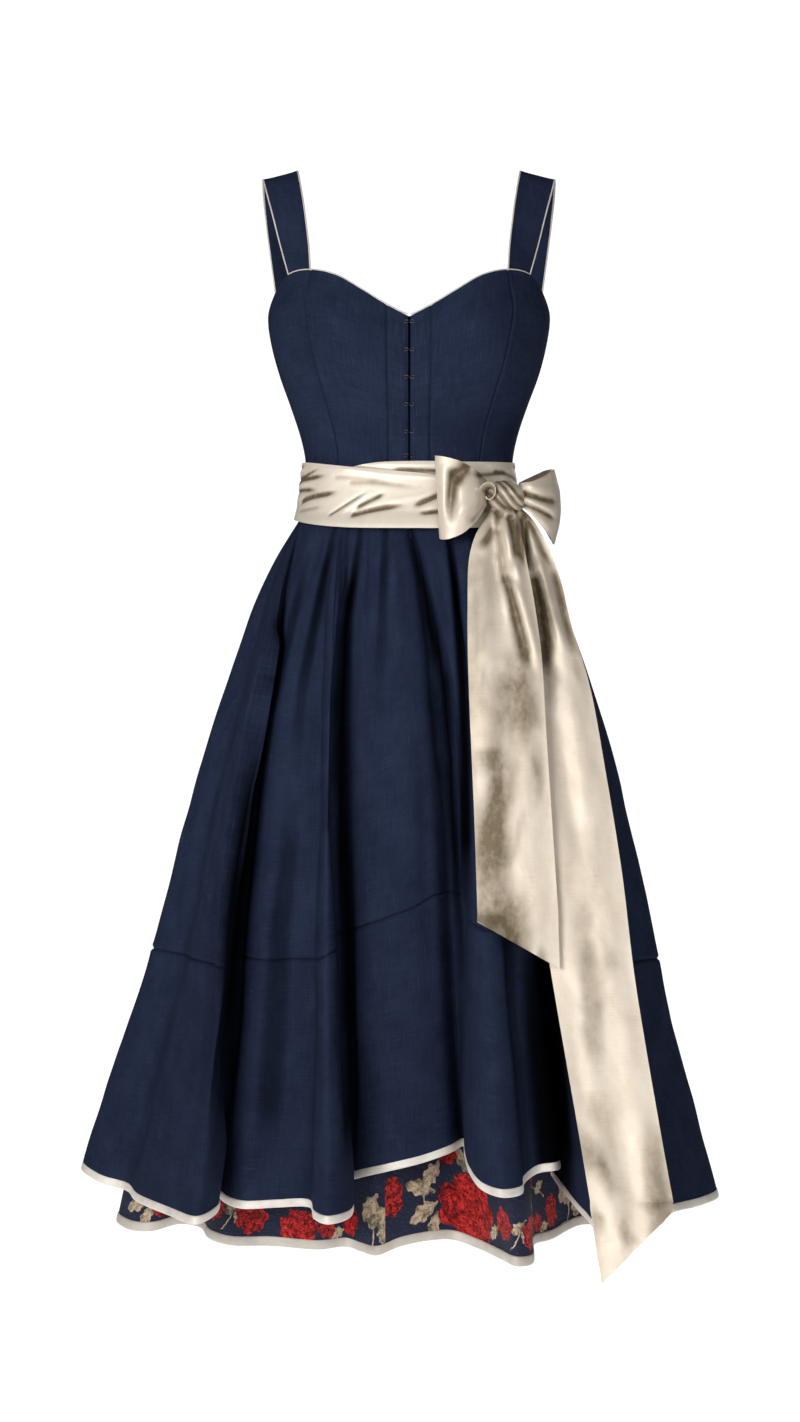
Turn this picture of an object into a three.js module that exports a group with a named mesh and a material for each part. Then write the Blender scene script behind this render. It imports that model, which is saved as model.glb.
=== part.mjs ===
// Dirndl, standing hollow as it is worn. Millimetres, +Z up, front towards -Y,
// origin midway between the tops of the two straps.
import * as THREE from 'three';

// Cloth thicknesses and seams.
const seamGap = 0.36;
const flounceGap = 0.7;
const bodiceWall = 1.8;
const skirtWall = 1.5;
const strapWall = 2.0;
const silkWall = 1.2;
const pipingRadius = 1.4;
const bindingDepth = 10;
const underBindingDepth = 12;
const bindingWall = 2.5;

// Levels.
const waistSeam = -372;
const bustPoint = 82;
const bustSpread = 44;
const squareness = 0.83;

// Body form, a row for each level of the bodice.
const bodyForm = [
  { height: -105, halfWidth: 149, front: 94, back: 98, cup: 3 },
  { height: -140, halfWidth: 156, front: 103, back: 103, cup: 11 },
  { height: -165, halfWidth: 162, front: 107, back: 105, cup: 17 },
  { height: -196, halfWidth: 158, front: 108, back: 106, cup: 20 },
  { height: -232, halfWidth: 148.5, front: 105, back: 103, cup: 13 },
  { height: -265, halfWidth: 136.5, front: 99, back: 97, cup: 4 },
  { height: -300, halfWidth: 124.8, front: 94, back: 90, cup: 0 },
  { height: -330, halfWidth: 119, front: 92.5, back: 87.5, cup: 0 },
  { height: -372, halfWidth: 119, front: 94.5, back: 90.5, cup: 0 },
];

// Top edge of the bodice by angle round the body from the centre front.
const topEdge = [
  { angle: 0, height: -176.4 },
  { angle: 6, height: -164.7 },
  { angle: 15, height: -148.5 },
  { angle: 28, height: -130 },
  { angle: 44, height: -121.3 },
  { angle: 62, height: -124 },
  { angle: 77, height: -141 },
  { angle: 90, height: -162 },
  { angle: 105, height: -170 },
  { angle: 130, height: -168 },
  { angle: 150, height: -163 },
  { angle: 180, height: -164 },
];

// Bodice seams: angle from the centre front at each level.
const bandSeam = [
  { height: -120, angle: 6.0 },
  { height: -200, angle: 6.1 },
  { height: -372, angle: 8.8 },
];
const princessSeam = [
  { height: -120, angle: 43 },
  { height: -151, angle: 43 },
  { height: -187, angle: 42 },
  { height: -222, angle: 41.5 },
  { height: -270, angle: 40 },
  { height: -336, angle: 38.5 },
  { height: -372, angle: 38 },
];
const sideSeam = [
  { height: -120, angle: 93 },
  { height: -372, angle: 92 },
];
const backSeam = [
  { height: -120, angle: 140 },
  { height: -372, angle: 146 },
];

// Strap, a row for each station from the front base over the shoulder to the back base.
// x, y, z is the middle of the strap, wx, wy, wz half its width.
const strapForm = [
  { x: 129.0, y: -59, z: -92, wx: 15.2, wy: 11, wz: -1 },
  { x: 136.5, y: -44, z: -52, wx: 17.4, wy: 7, wz: -2.4 },
  { x: 143.5, y: -24, z: -19, wx: 18.7, wy: 3, wz: -4 },
  { x: 146.8, y: -9, z: -4.5, wx: 19, wy: 1, wz: -4.6 },
  { x: 148.3, y: 6, z: 0, wx: 19, wy: 0, wz: -4.8 },
  { x: 149.2, y: 22, z: -5, wx: 18.9, wy: -1, wz: -4.6 },
  { x: 149.0, y: 38, z: -22, wx: 18.6, wy: -3, wz: -3.6 },
  { x: 147.0, y: 54, z: -56, wx: 17.3, wy: -6, wz: -2.2 },
  { x: 142.5, y: 63, z: -104, wx: 15.8, wy: -9, wz: -1 },
  { x: 138.0, y: 65.5, z: -145, wx: 14.6, wy: -11.5, wz: -0.4 },
];
const strapFrontInner = 44;
const strapFrontOuter = 61.5;
const strapBackOuter = 116;
const strapBackInner = 137;

// How far a thread has flared by its fall from the waist seam to the hem.
const flare = [
  { fall: 0, reach: 0 },
  { fall: 0.028, reach: 0.024 },
  { fall: 0.05, reach: 0.066 },
  { fall: 0.09, reach: 0.14 },
  { fall: 0.152, reach: 0.233 },
  { fall: 0.226, reach: 0.318 },
  { fall: 0.277, reach: 0.374 },
  { fall: 0.365, reach: 0.463 },
  { fall: 0.485, reach: 0.562 },
  { fall: 0.602, reach: 0.652 },
  { fall: 0.657, reach: 0.694 },
  { fall: 0.745, reach: 0.768 },
  { fall: 0.878, reach: 0.896 },
  { fall: 1, reach: 1 },
];
const upperFalls = [0, 0.028, 0.07, 0.16, 0.3, 0.47];
const flounceFalls = [0.33, 0.67];

// Overskirt folds from the left side across the front to the right side: where each
// thread leaves the waist, where it meets the hem, the height of the flounce seam,
// and its sideways swing half way down.
const overFront = [
  { waist: -93, x: -376, y: 4, hem: -1142, seam: -888, swing: 0, gore: true },
  { waist: -91, x: -352, y: -38, hem: -1152, seam: -890, swing: 0 },
  { waist: -89, x: -322, y: -54, hem: -1158, seam: -892, swing: 0 },
  { waist: -87, x: -303, y: -118, hem: -1160, seam: -893, swing: 0 },
  { waist: -84, x: -262, y: -198, hem: -1161, seam: -894, swing: -2 },
  { waist: -80, x: -227, y: -252, hem: -1162, seam: -894, swing: -12 },
  { waist: -76, x: -207, y: -192, hem: -1158, seam: -893, swing: -26 },
  { waist: -72, x: -216, y: -126, hem: -1150, seam: -890, swing: -14 },
  { waist: -66, x: -200, y: -160, hem: -1156, seam: -890, swing: -8 },
  { waist: -60, x: -180, y: -184, hem: -1157, seam: -890, swing: -4 },
  { waist: -52, x: -145, y: -187, hem: -1155, seam: -888, swing: 0 },
  { waist: -45, x: -110, y: -190, hem: -1154, seam: -888, swing: 0, gore: true },
  { waist: -42, x: -102, y: -232, hem: -1160, seam: -886, swing: -2 },
  { waist: -38, x: -88, y: -256, hem: -1161, seam: -880, swing: -6 },
  { waist: -34, x: -72, y: -240, hem: -1161, seam: -876, swing: -10 },
  { waist: -31, x: -61, y: -190, hem: -1159, seam: -870, swing: -16 },
  { waist: -28, x: -68, y: -122, hem: -1138, seam: -862, swing: -8 },
  { waist: -24, x: -55, y: -136, hem: -1131, seam: -855, swing: 2 },
  { waist: -17, x: -26, y: -152, hem: -1122, seam: -846, swing: 2 },
  { waist: -10, x: 14, y: -154, hem: -1112, seam: -834, swing: 4 },
  { waist: -5, x: 45, y: -142, hem: -1103, seam: -820, swing: 6 },
  { waist: 0, x: 60, y: -112, hem: -1100, seam: -818, swing: 8 },
  { waist: 4, x: 61, y: -150, hem: -1106, seam: -832, swing: 10 },
  { waist: 8, x: 65, y: -208, hem: -1116, seam: -842, swing: 9 },
  { waist: 13, x: 78, y: -248, hem: -1127, seam: -848, swing: 5 },
  { waist: 19, x: 98, y: -266, hem: -1131, seam: -852, swing: 2 },
  { waist: 25, x: 118, y: -254, hem: -1130, seam: -852, swing: 0 },
  { waist: 28, x: 124, y: -214, hem: -1124, seam: -850, swing: 0 },
  { waist: 32, x: 138, y: -206, hem: -1115, seam: -850, swing: 0 },
  { waist: 38, x: 157, y: -206, hem: -1112, seam: -852, swing: 0 },
  { waist: 43, x: 165, y: -150, hem: -1118, seam: -856, swing: 0 },
  { waist: 48, x: 160, y: -80, hem: -1138, seam: -866, swing: 0 },
  { waist: 52, x: 178, y: -128, hem: -1158, seam: -880, swing: 0, gore: true },
  { waist: 56, x: 190, y: -205, hem: -1164, seam: -886, swing: 0 },
  { waist: 61, x: 204, y: -266, hem: -1168, seam: -890, swing: 2 },
  { waist: 66, x: 236, y: -276, hem: -1170, seam: -893, swing: 2 },
  { waist: 72, x: 268, y: -212, hem: -1171, seam: -895, swing: 2 },
  { waist: 78, x: 293, y: -120, hem: -1172, seam: -897, swing: 2 },
  { waist: 83, x: 328, y: -70, hem: -1173, seam: -898, swing: 1 },
  { waist: 89, x: 355, y: -4, hem: -1172, seam: -900, swing: 0 },
];
// Folds behind, a row for each: crown and the valley after it, in degrees and reach.
const overBack = [
  { crown: 106, reach: 342, valley: 124, dip: 236, spread: 7, gore: true },
  { crown: 141, reach: 318, valley: 157, dip: 196, spread: 8 },
  { crown: 172, reach: 298, valley: 186, dip: 184, spread: 8, gore: true },
  { crown: 201, reach: 304, valley: 216, dip: 200, spread: 8 },
  { crown: 230, reach: 322, valley: 246, dip: 240, spread: 7, gore: true },
];
const backHem = -1160;
const backFlounceSeam = -890;

// Underskirt hem in the same way, inside the overskirt.
const underFront = [
  { waist: -93, x: -336, y: 12, hem: -1203, gore: true },
  { waist: -90, x: -319, y: -26, hem: -1208 },
  { waist: -87, x: -292, y: -40, hem: -1207 },
  { waist: -83, x: -262, y: -24, hem: -1202 },
  { waist: -78, x: -238, y: -40, hem: -1203 },
  { waist: -72, x: -224, y: -84, hem: -1208 },
  { waist: -65, x: -197, y: -112, hem: -1210 },
  { waist: -56, x: -153, y: -125, hem: -1208 },
  { waist: -46, x: -101, y: -120, hem: -1213, gore: true },
  { waist: -36, x: -70, y: -98, hem: -1214 },
  { waist: -26, x: -54, y: -110, hem: -1217 },
  { waist: -18, x: -36, y: -128, hem: -1218 },
  { waist: -9, x: -10, y: -118, hem: -1210 },
  { waist: 2, x: 26, y: -96, hem: -1207 },
  { waist: 12, x: 50, y: -84, hem: -1209 },
  { waist: 19, x: 76, y: -102, hem: -1215 },
  { waist: 25, x: 98, y: -150, hem: -1217 },
  { waist: 31, x: 116, y: -186, hem: -1219 },
  { waist: 37, x: 133, y: -172, hem: -1220, gore: true },
  { waist: 43, x: 140, y: -92, hem: -1213 },
  { waist: 49, x: 162, y: -52, hem: -1214 },
  { waist: 56, x: 198, y: -12, hem: -1205 },
  { waist: 64, x: 236, y: -40, hem: -1205 },
  { waist: 72, x: 262, y: -96, hem: -1206 },
  { waist: 80, x: 292, y: -58, hem: -1205 },
  { waist: 89, x: 318, y: 10, hem: -1204 },
];
const underBack = [
  { crown: 112, reach: 262, valley: 130, dip: 208, spread: 8 },
  { crown: 150, reach: 186, valley: 166, dip: 168, spread: 8, gore: true },
  { crown: 187, reach: 172, valley: 205, dip: 172, spread: 8 },
  { crown: 224, reach: 196, valley: 244, dip: 214, spread: 8, gore: true },
];
const underBackHem = -1206;
const underFalls = [0, 0.028, 0.07, 0.2, 0.55];

// Sash form by level, outside the bodice and the pleats.
const sashForm = [
  { height: -322, halfWidth: 121.0, front: 94.8, back: 89.8 },
  { height: -338, halfWidth: 120.6, front: 94.4, back: 89.4 },
  { height: -352, halfWidth: 122.6, front: 96.6, back: 92.0 },
  { height: -372, halfWidth: 124.2, front: 99.8, back: 96.0 },
  { height: -394, halfWidth: 128.4, front: 104.8, back: 101.8 },
  { height: -405, halfWidth: 134.2, front: 110.0, back: 106.6 },
  { height: -416, halfWidth: 139.4, front: 114.8, back: 111.4 },
];
const sashRipple = 0.9;
// Edges of each layer by angle from the centre front.
const sashFrontEdges = [
  { angle: -91, top: -333, bottom: -396 },
  { angle: -70, top: -334, bottom: -402 },
  { angle: -30, top: -343, bottom: -412 },
  { angle: 0, top: -350, bottom: -414 },
  { angle: 30, top: -360, bottom: -413 },
  { angle: 44, top: -366, bottom: -410 },
];
const sashCrossEdges = [
  { angle: -34, top: -345, bottom: -392 },
  { angle: -10, top: -338, bottom: -394 },
  { angle: 30, top: -337, bottom: -396 },
  { angle: 60, top: -335, bottom: -397 },
  { angle: 91, top: -332, bottom: -397 },
];
const sashBackEdges = [
  { angle: 91.3, top: -332, bottom: -397 },
  { angle: 140, top: -330, bottom: -402 },
  { angle: 180, top: -330, bottom: -404 },
  { angle: 220, top: -331, bottom: -402 },
  { angle: 268.7, top: -333, bottom: -396 },
];

// Bow loops, a row for each station from the back layer at the knot round the end
// to the front layer at the knot.
const leftLoop = [
  { x: 86.4, y: -95.6, top: -361, bottom: -386, puff: 0 },
  { x: 68, y: -105.6, top: -351, bottom: -398, puff: 0 },
  { x: 47, y: -112.05, top: -342, bottom: -408, puff: 0 },
  { x: 34, y: -116.7, top: -337, bottom: -420, puff: 0 },
  { x: 28.5, y: -124.0, top: -334, bottom: -425, puff: 0 },
  { x: 31, y: -131.0, top: -334.5, bottom: -427, puff: 1 },
  { x: 41, y: -136.0, top: -336.5, bottom: -426, puff: 2.5 },
  { x: 57, y: -136.5, top: -341, bottom: -420, puff: 5 },
  { x: 73, y: -129.0, top: -349, bottom: -407, puff: 4 },
  { x: 82, y: -116.0, top: -356, bottom: -395, puff: 1.5 },
  { x: 86.4, y: -104.0, top: -361, bottom: -387, puff: 0 },
];
const rightLoop = [
  { x: 122.6, y: -95.8, top: -362, bottom: -387, puff: 0 },
  { x: 136, y: -88.0, top: -355, bottom: -395, puff: 0 },
  { x: 152, y: -75.0, top: -347, bottom: -409, puff: 0 },
  { x: 164, y: -66.5, top: -344, bottom: -423, puff: 0 },
  { x: 171, y: -67.5, top: -344.5, bottom: -428, puff: 0 },
  { x: 172, y: -76.0, top: -346, bottom: -428, puff: 0.5 },
  { x: 165, y: -90.0, top: -350, bottom: -421, puff: 2 },
  { x: 151, y: -105.0, top: -357, bottom: -409, puff: 3.5 },
  { x: 137, y: -113.5, top: -362, bottom: -398, puff: 2.5 },
  { x: 127.5, y: -111.0, top: -363, bottom: -391, puff: 1 },
  { x: 122.6, y: -104.2, top: -363, bottom: -388, puff: 0 },
];
const loopRows = [0, 0.2, 0.4, 0.6, 0.8, 1];

// Knot.
const knot = { x: 104.5, y: -100, z: -373, halfLength: 17.5, halfHeight: 15, halfDepth: 16.5, lean: -0.12 };

// Tails, a row for each level: side edges, distance in front, depth of the creases.
const shortTail = [
  { z: -386.3, left: 93, right: 112, y: -107.5, crease: 1.5 },
  { z: -402, left: 85, right: 119, y: -112.5, crease: 4.5 },
  { z: -422, left: 73, right: 124, y: -121, crease: 7 },
  { z: -452, left: 65.5, right: 130, y: -128, crease: 7 },
  { z: -500, left: 64, right: 138, y: -143.5, crease: 6 },
  { z: -560, left: 64, right: 145, y: -159, crease: 5 },
  { z: -640, left: 66.5, right: 149, y: -175, crease: 3.5 },
  { z: -730, left: 70, right: 154, y: -193, crease: 2.5 },
  { z: -850, left: 73, right: 160, y: -214, crease: 2 },
];
const shortTailPoint = { leftDrop: -842, rightDrop: -893, y: -223 };
const longTail = [
  { z: -388.8, left: 107, right: 124, y: -98, crease: 1.5 },
  { z: -404, left: 106, right: 138, y: -98.5, crease: 3 },
  { z: -430, left: 104, right: 152, y: -101, crease: 5 },
  { z: -470, left: 106, right: 166, y: -109, crease: 5.5 },
  { z: -520, left: 110, right: 176, y: -124, crease: 6 },
  { z: -590, left: 116, right: 196, y: -140, crease: 4.5 },
  { z: -680, left: 124, right: 209, y: -163, crease: 4 },
  { z: -790, left: 136, right: 222, y: -190, crease: 3 },
  { z: -910, left: 152, right: 232, y: -216, crease: 2.5 },
  { z: -1050, left: 174, right: 254, y: -252, crease: 2.5 },
  { z: -1140, left: 188, right: 267, y: -276, crease: 2.5 },
];
const longTailPoint = { leftDrop: -1212, rightDrop: -1137, y: -291 };

// Hooks and eyes: heights down the centre front.
const hookHeights = [-183, -214, -244, -274, -304, -330.5];
const hookWire = 0.55;

const navy = { color: 0x262e4a, roughness: 0.85 };
const silk = { color: 0xdecdb2, roughness: 0.35 };
const cream = { color: 0xe6dccb, roughness: 0.4 };
const brocade = { color: 0x2b2440, roughness: 0.7 };
const steel = { color: 0xb9bcc2, roughness: 0.3, metalness: 1 };

const group = new THREE.Group();
const rad = THREE.MathUtils.degToRad;
const lerp = THREE.MathUtils.lerp;

// A column of a table, smooth through its rows, at a value of the key column.
function along(rows, key, column, value) {
  const last = rows.length - 1;
  const rising = rows[last][key] > rows[0][key];
  let i = 0;
  while (i < last - 1 && (rising ? value > rows[i + 1][key] : value < rows[i + 1][key])) i += 1;
  const k0 = rows[i][key];
  const k1 = rows[i + 1][key];
  const w = THREE.MathUtils.clamp((value - k0) / (k1 - k0), 0, 1);
  const slope = (j) => {
    const a = Math.max(j - 1, 0);
    const b = Math.min(j + 1, last);
    return (rows[b][column] - rows[a][column]) / (rows[b][key] - rows[a][key]);
  };
  const w2 = w * w;
  const w3 = w2 * w;
  return (2 * w3 - 3 * w2 + 1) * rows[i][column] + (w3 - 2 * w2 + w) * slope(i) * (k1 - k0)
    + (3 * w2 - 2 * w3) * rows[i + 1][column] + (w3 - w2) * slope(i + 1) * (k1 - k0);
}

// Point on an oval section: halfWidth at the sides, front and back depths.
function oval(angle, halfWidth, front, back) {
  const s = Math.sin(angle);
  const c = Math.cos(angle);
  const x = halfWidth * Math.sign(s) * Math.abs(s) ** squareness;
  const depth = c > 0 ? front : back;
  return { x, y: -depth * Math.sign(c) * Math.abs(c) ** squareness };
}

function bodyPoint(degrees, height) {
  const at = (column) => along(bodyForm, 'height', column, height);
  const p = oval(rad(degrees), at('halfWidth'), at('front'), at('back'));
  if (p.y < 0) {
    p.y -= Math.max(at('cup'), 0) * Math.exp(-(((Math.abs(p.x) - bustPoint) / bustSpread) ** 2));
  }
  return new THREE.Vector3(p.x, p.y, height);
}

function sashPoint(degrees, height) {
  const at = (column) => along(sashForm, 'height', column, height);
  const p = oval(rad(degrees), at('halfWidth'), at('front'), at('back'));
  return new THREE.Vector3(p.x, p.y, height);
}

// Outward normal of a form at an angle and a height.
function normalOf(form, degrees, height) {
  const round = form(degrees + 1.5, height).sub(form(degrees - 1.5, height));
  const up = form(degrees, height + 2).sub(form(degrees, height - 2));
  return round.cross(up).normalize();
}

// Closed body from a list of triangles, turned so that its faces look outward.
function addBody(name, material, points, faces) {
  let volume = 0;
  for (const [a, b, c] of faces) {
    volume += points[a].dot(new THREE.Vector3().crossVectors(points[b], points[c]));
  }
  const position = [];
  for (const p of points) position.push(p.x, p.y, p.z);
  const index = [];
  for (const [a, b, c] of faces) {
    if (volume > 0) index.push(a, b, c);
    else index.push(a, c, b);
  }
  const geometry = new THREE.BufferGeometry();
  geometry.setAttribute('position', new THREE.Float32BufferAttribute(position, 3));
  geometry.setIndex(index);
  geometry.computeVertexNormals();
  const mesh = new THREE.Mesh(geometry, new THREE.MeshStandardMaterial(material));
  mesh.name = name;
  group.add(mesh);
}

// Cloth between two grids of points, outer and inner, open or closed round.
function addCloth(name, material, outer, inner, round = false) {
  const rows = outer.length;
  const cols = outer[0].length;
  const points = [];
  for (const grid of [outer, inner]) {
    for (const row of grid) points.push(...row);
  }
  const half = rows * cols;
  const id = (side, i, j) => side * half + i * cols + (j % cols);
  const faces = [];
  const quad = (a, b, c, d) => {
    faces.push([a, b, c]);
    faces.push([a, c, d]);
  };
  const spans = round ? cols : cols - 1;
  for (let i = 0; i < rows - 1; i += 1) {
    for (let j = 0; j < spans; j += 1) {
      quad(id(0, i, j), id(0, i, j + 1), id(0, i + 1, j + 1), id(0, i + 1, j));
      quad(id(1, i, j), id(1, i + 1, j), id(1, i + 1, j + 1), id(1, i, j + 1));
    }
  }
  for (let j = 0; j < spans; j += 1) {
    quad(id(0, 0, j), id(1, 0, j), id(1, 0, j + 1), id(0, 0, j + 1));
    quad(id(0, rows - 1, j), id(0, rows - 1, j + 1), id(1, rows - 1, j + 1), id(1, rows - 1, j));
  }
  if (!round) {
    for (let i = 0; i < rows - 1; i += 1) {
      quad(id(0, i, 0), id(0, i + 1, 0), id(1, i + 1, 0), id(1, i, 0));
      quad(id(0, i, cols - 1), id(1, i, cols - 1), id(1, i + 1, cols - 1), id(0, i + 1, cols - 1));
    }
  }
  addBody(name, material, points, faces);
}

// Normals of a free grid by its neighbours.
function gridNormals(grid, round = false) {
  const rows = grid.length;
  const cols = grid[0].length;
  return grid.map((row, i) => row.map((p, j) => {
    const left = round ? (j + cols - 1) % cols : Math.max(j - 1, 0);
    const right = round ? (j + 1) % cols : Math.min(j + 1, cols - 1);
    const across = grid[i][right].clone().sub(grid[i][left]);
    const down = grid[Math.min(i + 1, rows - 1)][j].clone().sub(grid[Math.max(i - 1, 0)][j]);
    return down.cross(across).normalize();
  }));
}

function offsetGrid(grid, normals, distance) {
  return grid.map((row, i) => row.map((p, j) => p.clone().addScaledVector(normals[i][j], distance)));
}

// One shared normal on both sides of a level seam, so that the walls stay apart.
function shareNormals(normals, row) {
  normals[row].forEach((n, j) => {
    n.add(normals[row - 1][j]).normalize();
    normals[row - 1][j].copy(n);
  });
}

// A cord of five-sided section along points, with a sideways direction at each.
function addCord(name, material, path, sideways, radius, sides = 5) {
  const points = [];
  const faces = [];
  path.forEach((p, i) => {
    const ahead = path[Math.min(i + 1, path.length - 1)].clone().sub(path[Math.max(i - 1, 0)]).normalize();
    const u = sideways[i].clone().addScaledVector(ahead, -sideways[i].dot(ahead)).normalize();
    const v = new THREE.Vector3().crossVectors(ahead, u);
    for (let k = 0; k < sides; k += 1) {
      const turn = (k / sides) * Math.PI * 2;
      points.push(p.clone().addScaledVector(u, radius * Math.cos(turn)).addScaledVector(v, radius * Math.sin(turn)));
    }
  });
  for (let i = 0; i < path.length - 1; i += 1) {
    for (let k = 0; k < sides; k += 1) {
      const a = i * sides + k;
      const b = i * sides + ((k + 1) % sides);
      faces.push([a, b, b + sides], [a, b + sides, a + sides]);
    }
  }
  const end = (path.length - 1) * sides;
  for (let k = 1; k < sides - 1; k += 1) {
    faces.push([0, k + 1, k], [end, end + k, end + k + 1]);
  }
  addBody(name, material, points, faces);
}

// ---- Bodice ----
const bodiceRows = 7;
const seamRadius = 100;
const topAt = (degrees) => {
  const turned = Math.abs(((degrees + 180) % 360 + 360) % 360 - 180);
  return along(topEdge, 'angle', 'height', turned);
};
const seamAngle = (seam, height) => seam.sign * along(seam.rows, 'height', 'angle', height) + seam.shift;
const bodiceFrontGap = 1.1;
const centre = { rows: [{ height: -120, angle: 0 }, { height: -372, angle: 0 }], sign: 1, shift: 0 };
const seams = (rows, sign, shift = 0) => ({ rows, sign, shift });

function addBodicePanel(name, from, to, cols, fromGap, toGap) {
  const outer = [];
  const inner = [];
  for (let i = 0; i <= bodiceRows; i += 1) {
    outer.push([]);
    inner.push([]);
    for (let j = 0; j <= cols; j += 1) {
      const w = j / cols;
      let top = topAt(lerp(seamAngle(from, -150), seamAngle(to, -150), w));
      for (let n = 0; n < 4; n += 1) top = topAt(lerp(seamAngle(from, top), seamAngle(to, top), w));
      const height = lerp(top, waistSeam + seamGap, i / bodiceRows);
      const a = seamAngle(from, height);
      const b = seamAngle(to, height);
      const inset = (gap) => THREE.MathUtils.radToDeg(gap / seamRadius);
      const degrees = lerp(a + inset(fromGap), b - inset(toGap), w);
      const p = bodyPoint(degrees, height);
      outer[i].push(p);
      inner[i].push(p.clone().addScaledVector(normalOf(bodyPoint, degrees, height), -bodiceWall));
    }
  }
  addCloth(name, navy, outer, inner);
}

const sideGap = seamGap / 2;
addBodicePanel('bodice_band_left', seams(bandSeam, -1), centre, 1, sideGap, bodiceFrontGap);
addBodicePanel('bodice_band_right', centre, seams(bandSeam, 1), 1, bodiceFrontGap, sideGap);
addBodicePanel('bodice_front_left', seams(princessSeam, -1), seams(bandSeam, -1), 6, sideGap, sideGap);
addBodicePanel('bodice_front_right', seams(bandSeam, 1), seams(princessSeam, 1), 6, sideGap, sideGap);
addBodicePanel('bodice_side_left', seams(sideSeam, -1), seams(princessSeam, -1), 6, sideGap, sideGap);
addBodicePanel('bodice_side_right', seams(princessSeam, 1), seams(sideSeam, 1), 6, sideGap, sideGap);
addBodicePanel('bodice_back_right', seams(sideSeam, 1), seams(backSeam, 1), 6, sideGap, sideGap);
addBodicePanel('bodice_back_centre', seams(backSeam, 1), seams(backSeam, -1, 360), 8, sideGap, sideGap);
addBodicePanel('bodice_back_left', seams(backSeam, -1, 360), seams(sideSeam, -1, 360), 6, sideGap, sideGap);

// ---- Piping on the top edge ----
const pipingRise = pipingRadius + 0.5;
function edgePoint(degrees, rise) {
  const top = topAt(degrees);
  const p = bodyPoint(degrees, top).addScaledVector(normalOf(bodyPoint, degrees, top), -bodiceWall / 2);
  p.z += rise;
  return p;
}
function addTopPiping(name, fromDegrees, toDegrees, count) {
  const path = [];
  const out = [];
  for (let j = 0; j <= count; j += 1) {
    const degrees = lerp(fromDegrees, toDegrees, j / count);
    path.push(edgePoint(degrees, pipingRise));
    out.push(normalOf(bodyPoint, degrees, topAt(degrees)));
  }
  addCord(name, cream, path, out, pipingRadius);
}
addTopPiping('top_piping_left', -strapFrontOuter, -1.3, 14);
addTopPiping('top_piping_right', 1.3, strapFrontOuter, 14);
addTopPiping('top_piping_back', strapBackOuter, 360 - strapBackOuter, 18);

// ---- Straps and their piping ----
const strapRise = pipingRadius * 2 + 0.9;
const strapColumns = [-1, -0.33, 0.33, 1];
const strapPipingRadius = 1.1;
function strapGrid(side, across, lift) {
  const grid = [];
  const base = (inner, outer, rise) => across.map((w) => {
    const degrees = lerp(inner, outer, (w + 1) / 2);
    const p = edgePoint(degrees, rise);
    p.x *= side;
    return p;
  });
  grid.push(base(strapFrontInner, strapFrontOuter, strapRise));
  for (const row of strapForm) {
    grid.push(across.map((w) => new THREE.Vector3(
      side * (row.x + row.wx * w),
      row.y + row.wy * w,
      row.z + row.wz * w,
    )));
  }
  grid.push(base(strapBackInner, strapBackOuter, strapRise));
  const normals = gridNormals(grid);
  const sign = side > 0 ? 1 : -1;
  return { grid: offsetGrid(grid, normals, sign * lift), normals, sign };
}
for (const [word, side] of [['left', -1], ['right', 1]]) {
  const reach = 1 - (strapPipingRadius + 0.35) / 19;
  const columns = strapColumns.map((w) => w * reach);
  const outer = strapGrid(side, columns, strapWall / 2).grid;
  const inner = strapGrid(side, columns, -strapWall / 2).grid;
  addCloth(`strap_${word}`, navy, outer, inner);
  for (const [edge, w] of [['inner', -1], ['outer', 1]]) {
    const { grid, normals } = strapGrid(side, [w * 0.9, w * 1.04], 0);
    const path = grid.map((row) => row[1]);
    path[0].z += 0.9;
    path[path.length - 1].z += 0.9;
    addCord(`strap_piping_${word}_${edge}`, cream, path, normals.map((row) => row[1]), strapPipingRadius, 5);
  }
}

// ---- Hooks and eyes ----
function addWire(name, points, radius) {
  const path = points.map((p) => new THREE.Vector3(...p));
  addCord(name, steel, path, path.map(() => new THREE.Vector3(0.2, -1, 0.1)), radius, 4);
}
hookHeights.forEach((height, i) => {
  const front = (x) => {
    const p = bodyPoint(THREE.MathUtils.radToDeg(Math.asin((Math.abs(x) / 150) ** (1 / squareness))), height);
    return p.y - hookWire - 0.5;
  };
  const y = front(3);
  addWire(`hook_${i + 1}`, [
    [-5.4, y, height + 1.3], [-3.2, y, height + 1.6], [-1.3, y - 0.2, height + 0.9],
    [-1.3, y - 0.2, height - 0.9], [-3.2, y, height - 1.6], [-5.4, y, height - 1.3],
  ], hookWire);
  addWire(`eye_${i + 1}`, [
    [5.4, y, height + 1.3], [3.2, y, height + 1.6], [0.7, y - 0.2, height + 0.9],
    [0.7, y - 0.2, height - 0.9], [3.2, y, height - 1.6], [5.4, y, height - 1.3],
  ], hookWire);
});

// ---- Skirts ----
const backRows = (folds, hem, seam, shift) => folds.flatMap((fold) => {
  const at = (degrees, reach) => {
    const a = rad(degrees);
    return { waist: degrees, x: reach * Math.sin(a), y: -reach * Math.cos(a) * shift, hem, seam, swing: 0 };
  };
  return [
    at(fold.crown - fold.spread, fold.reach * 0.96),
    at(fold.crown, fold.reach),
    at(fold.crown + fold.spread, fold.reach * 0.95),
    { ...at(fold.valley, fold.dip), gore: fold.gore },
  ];
});

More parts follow.
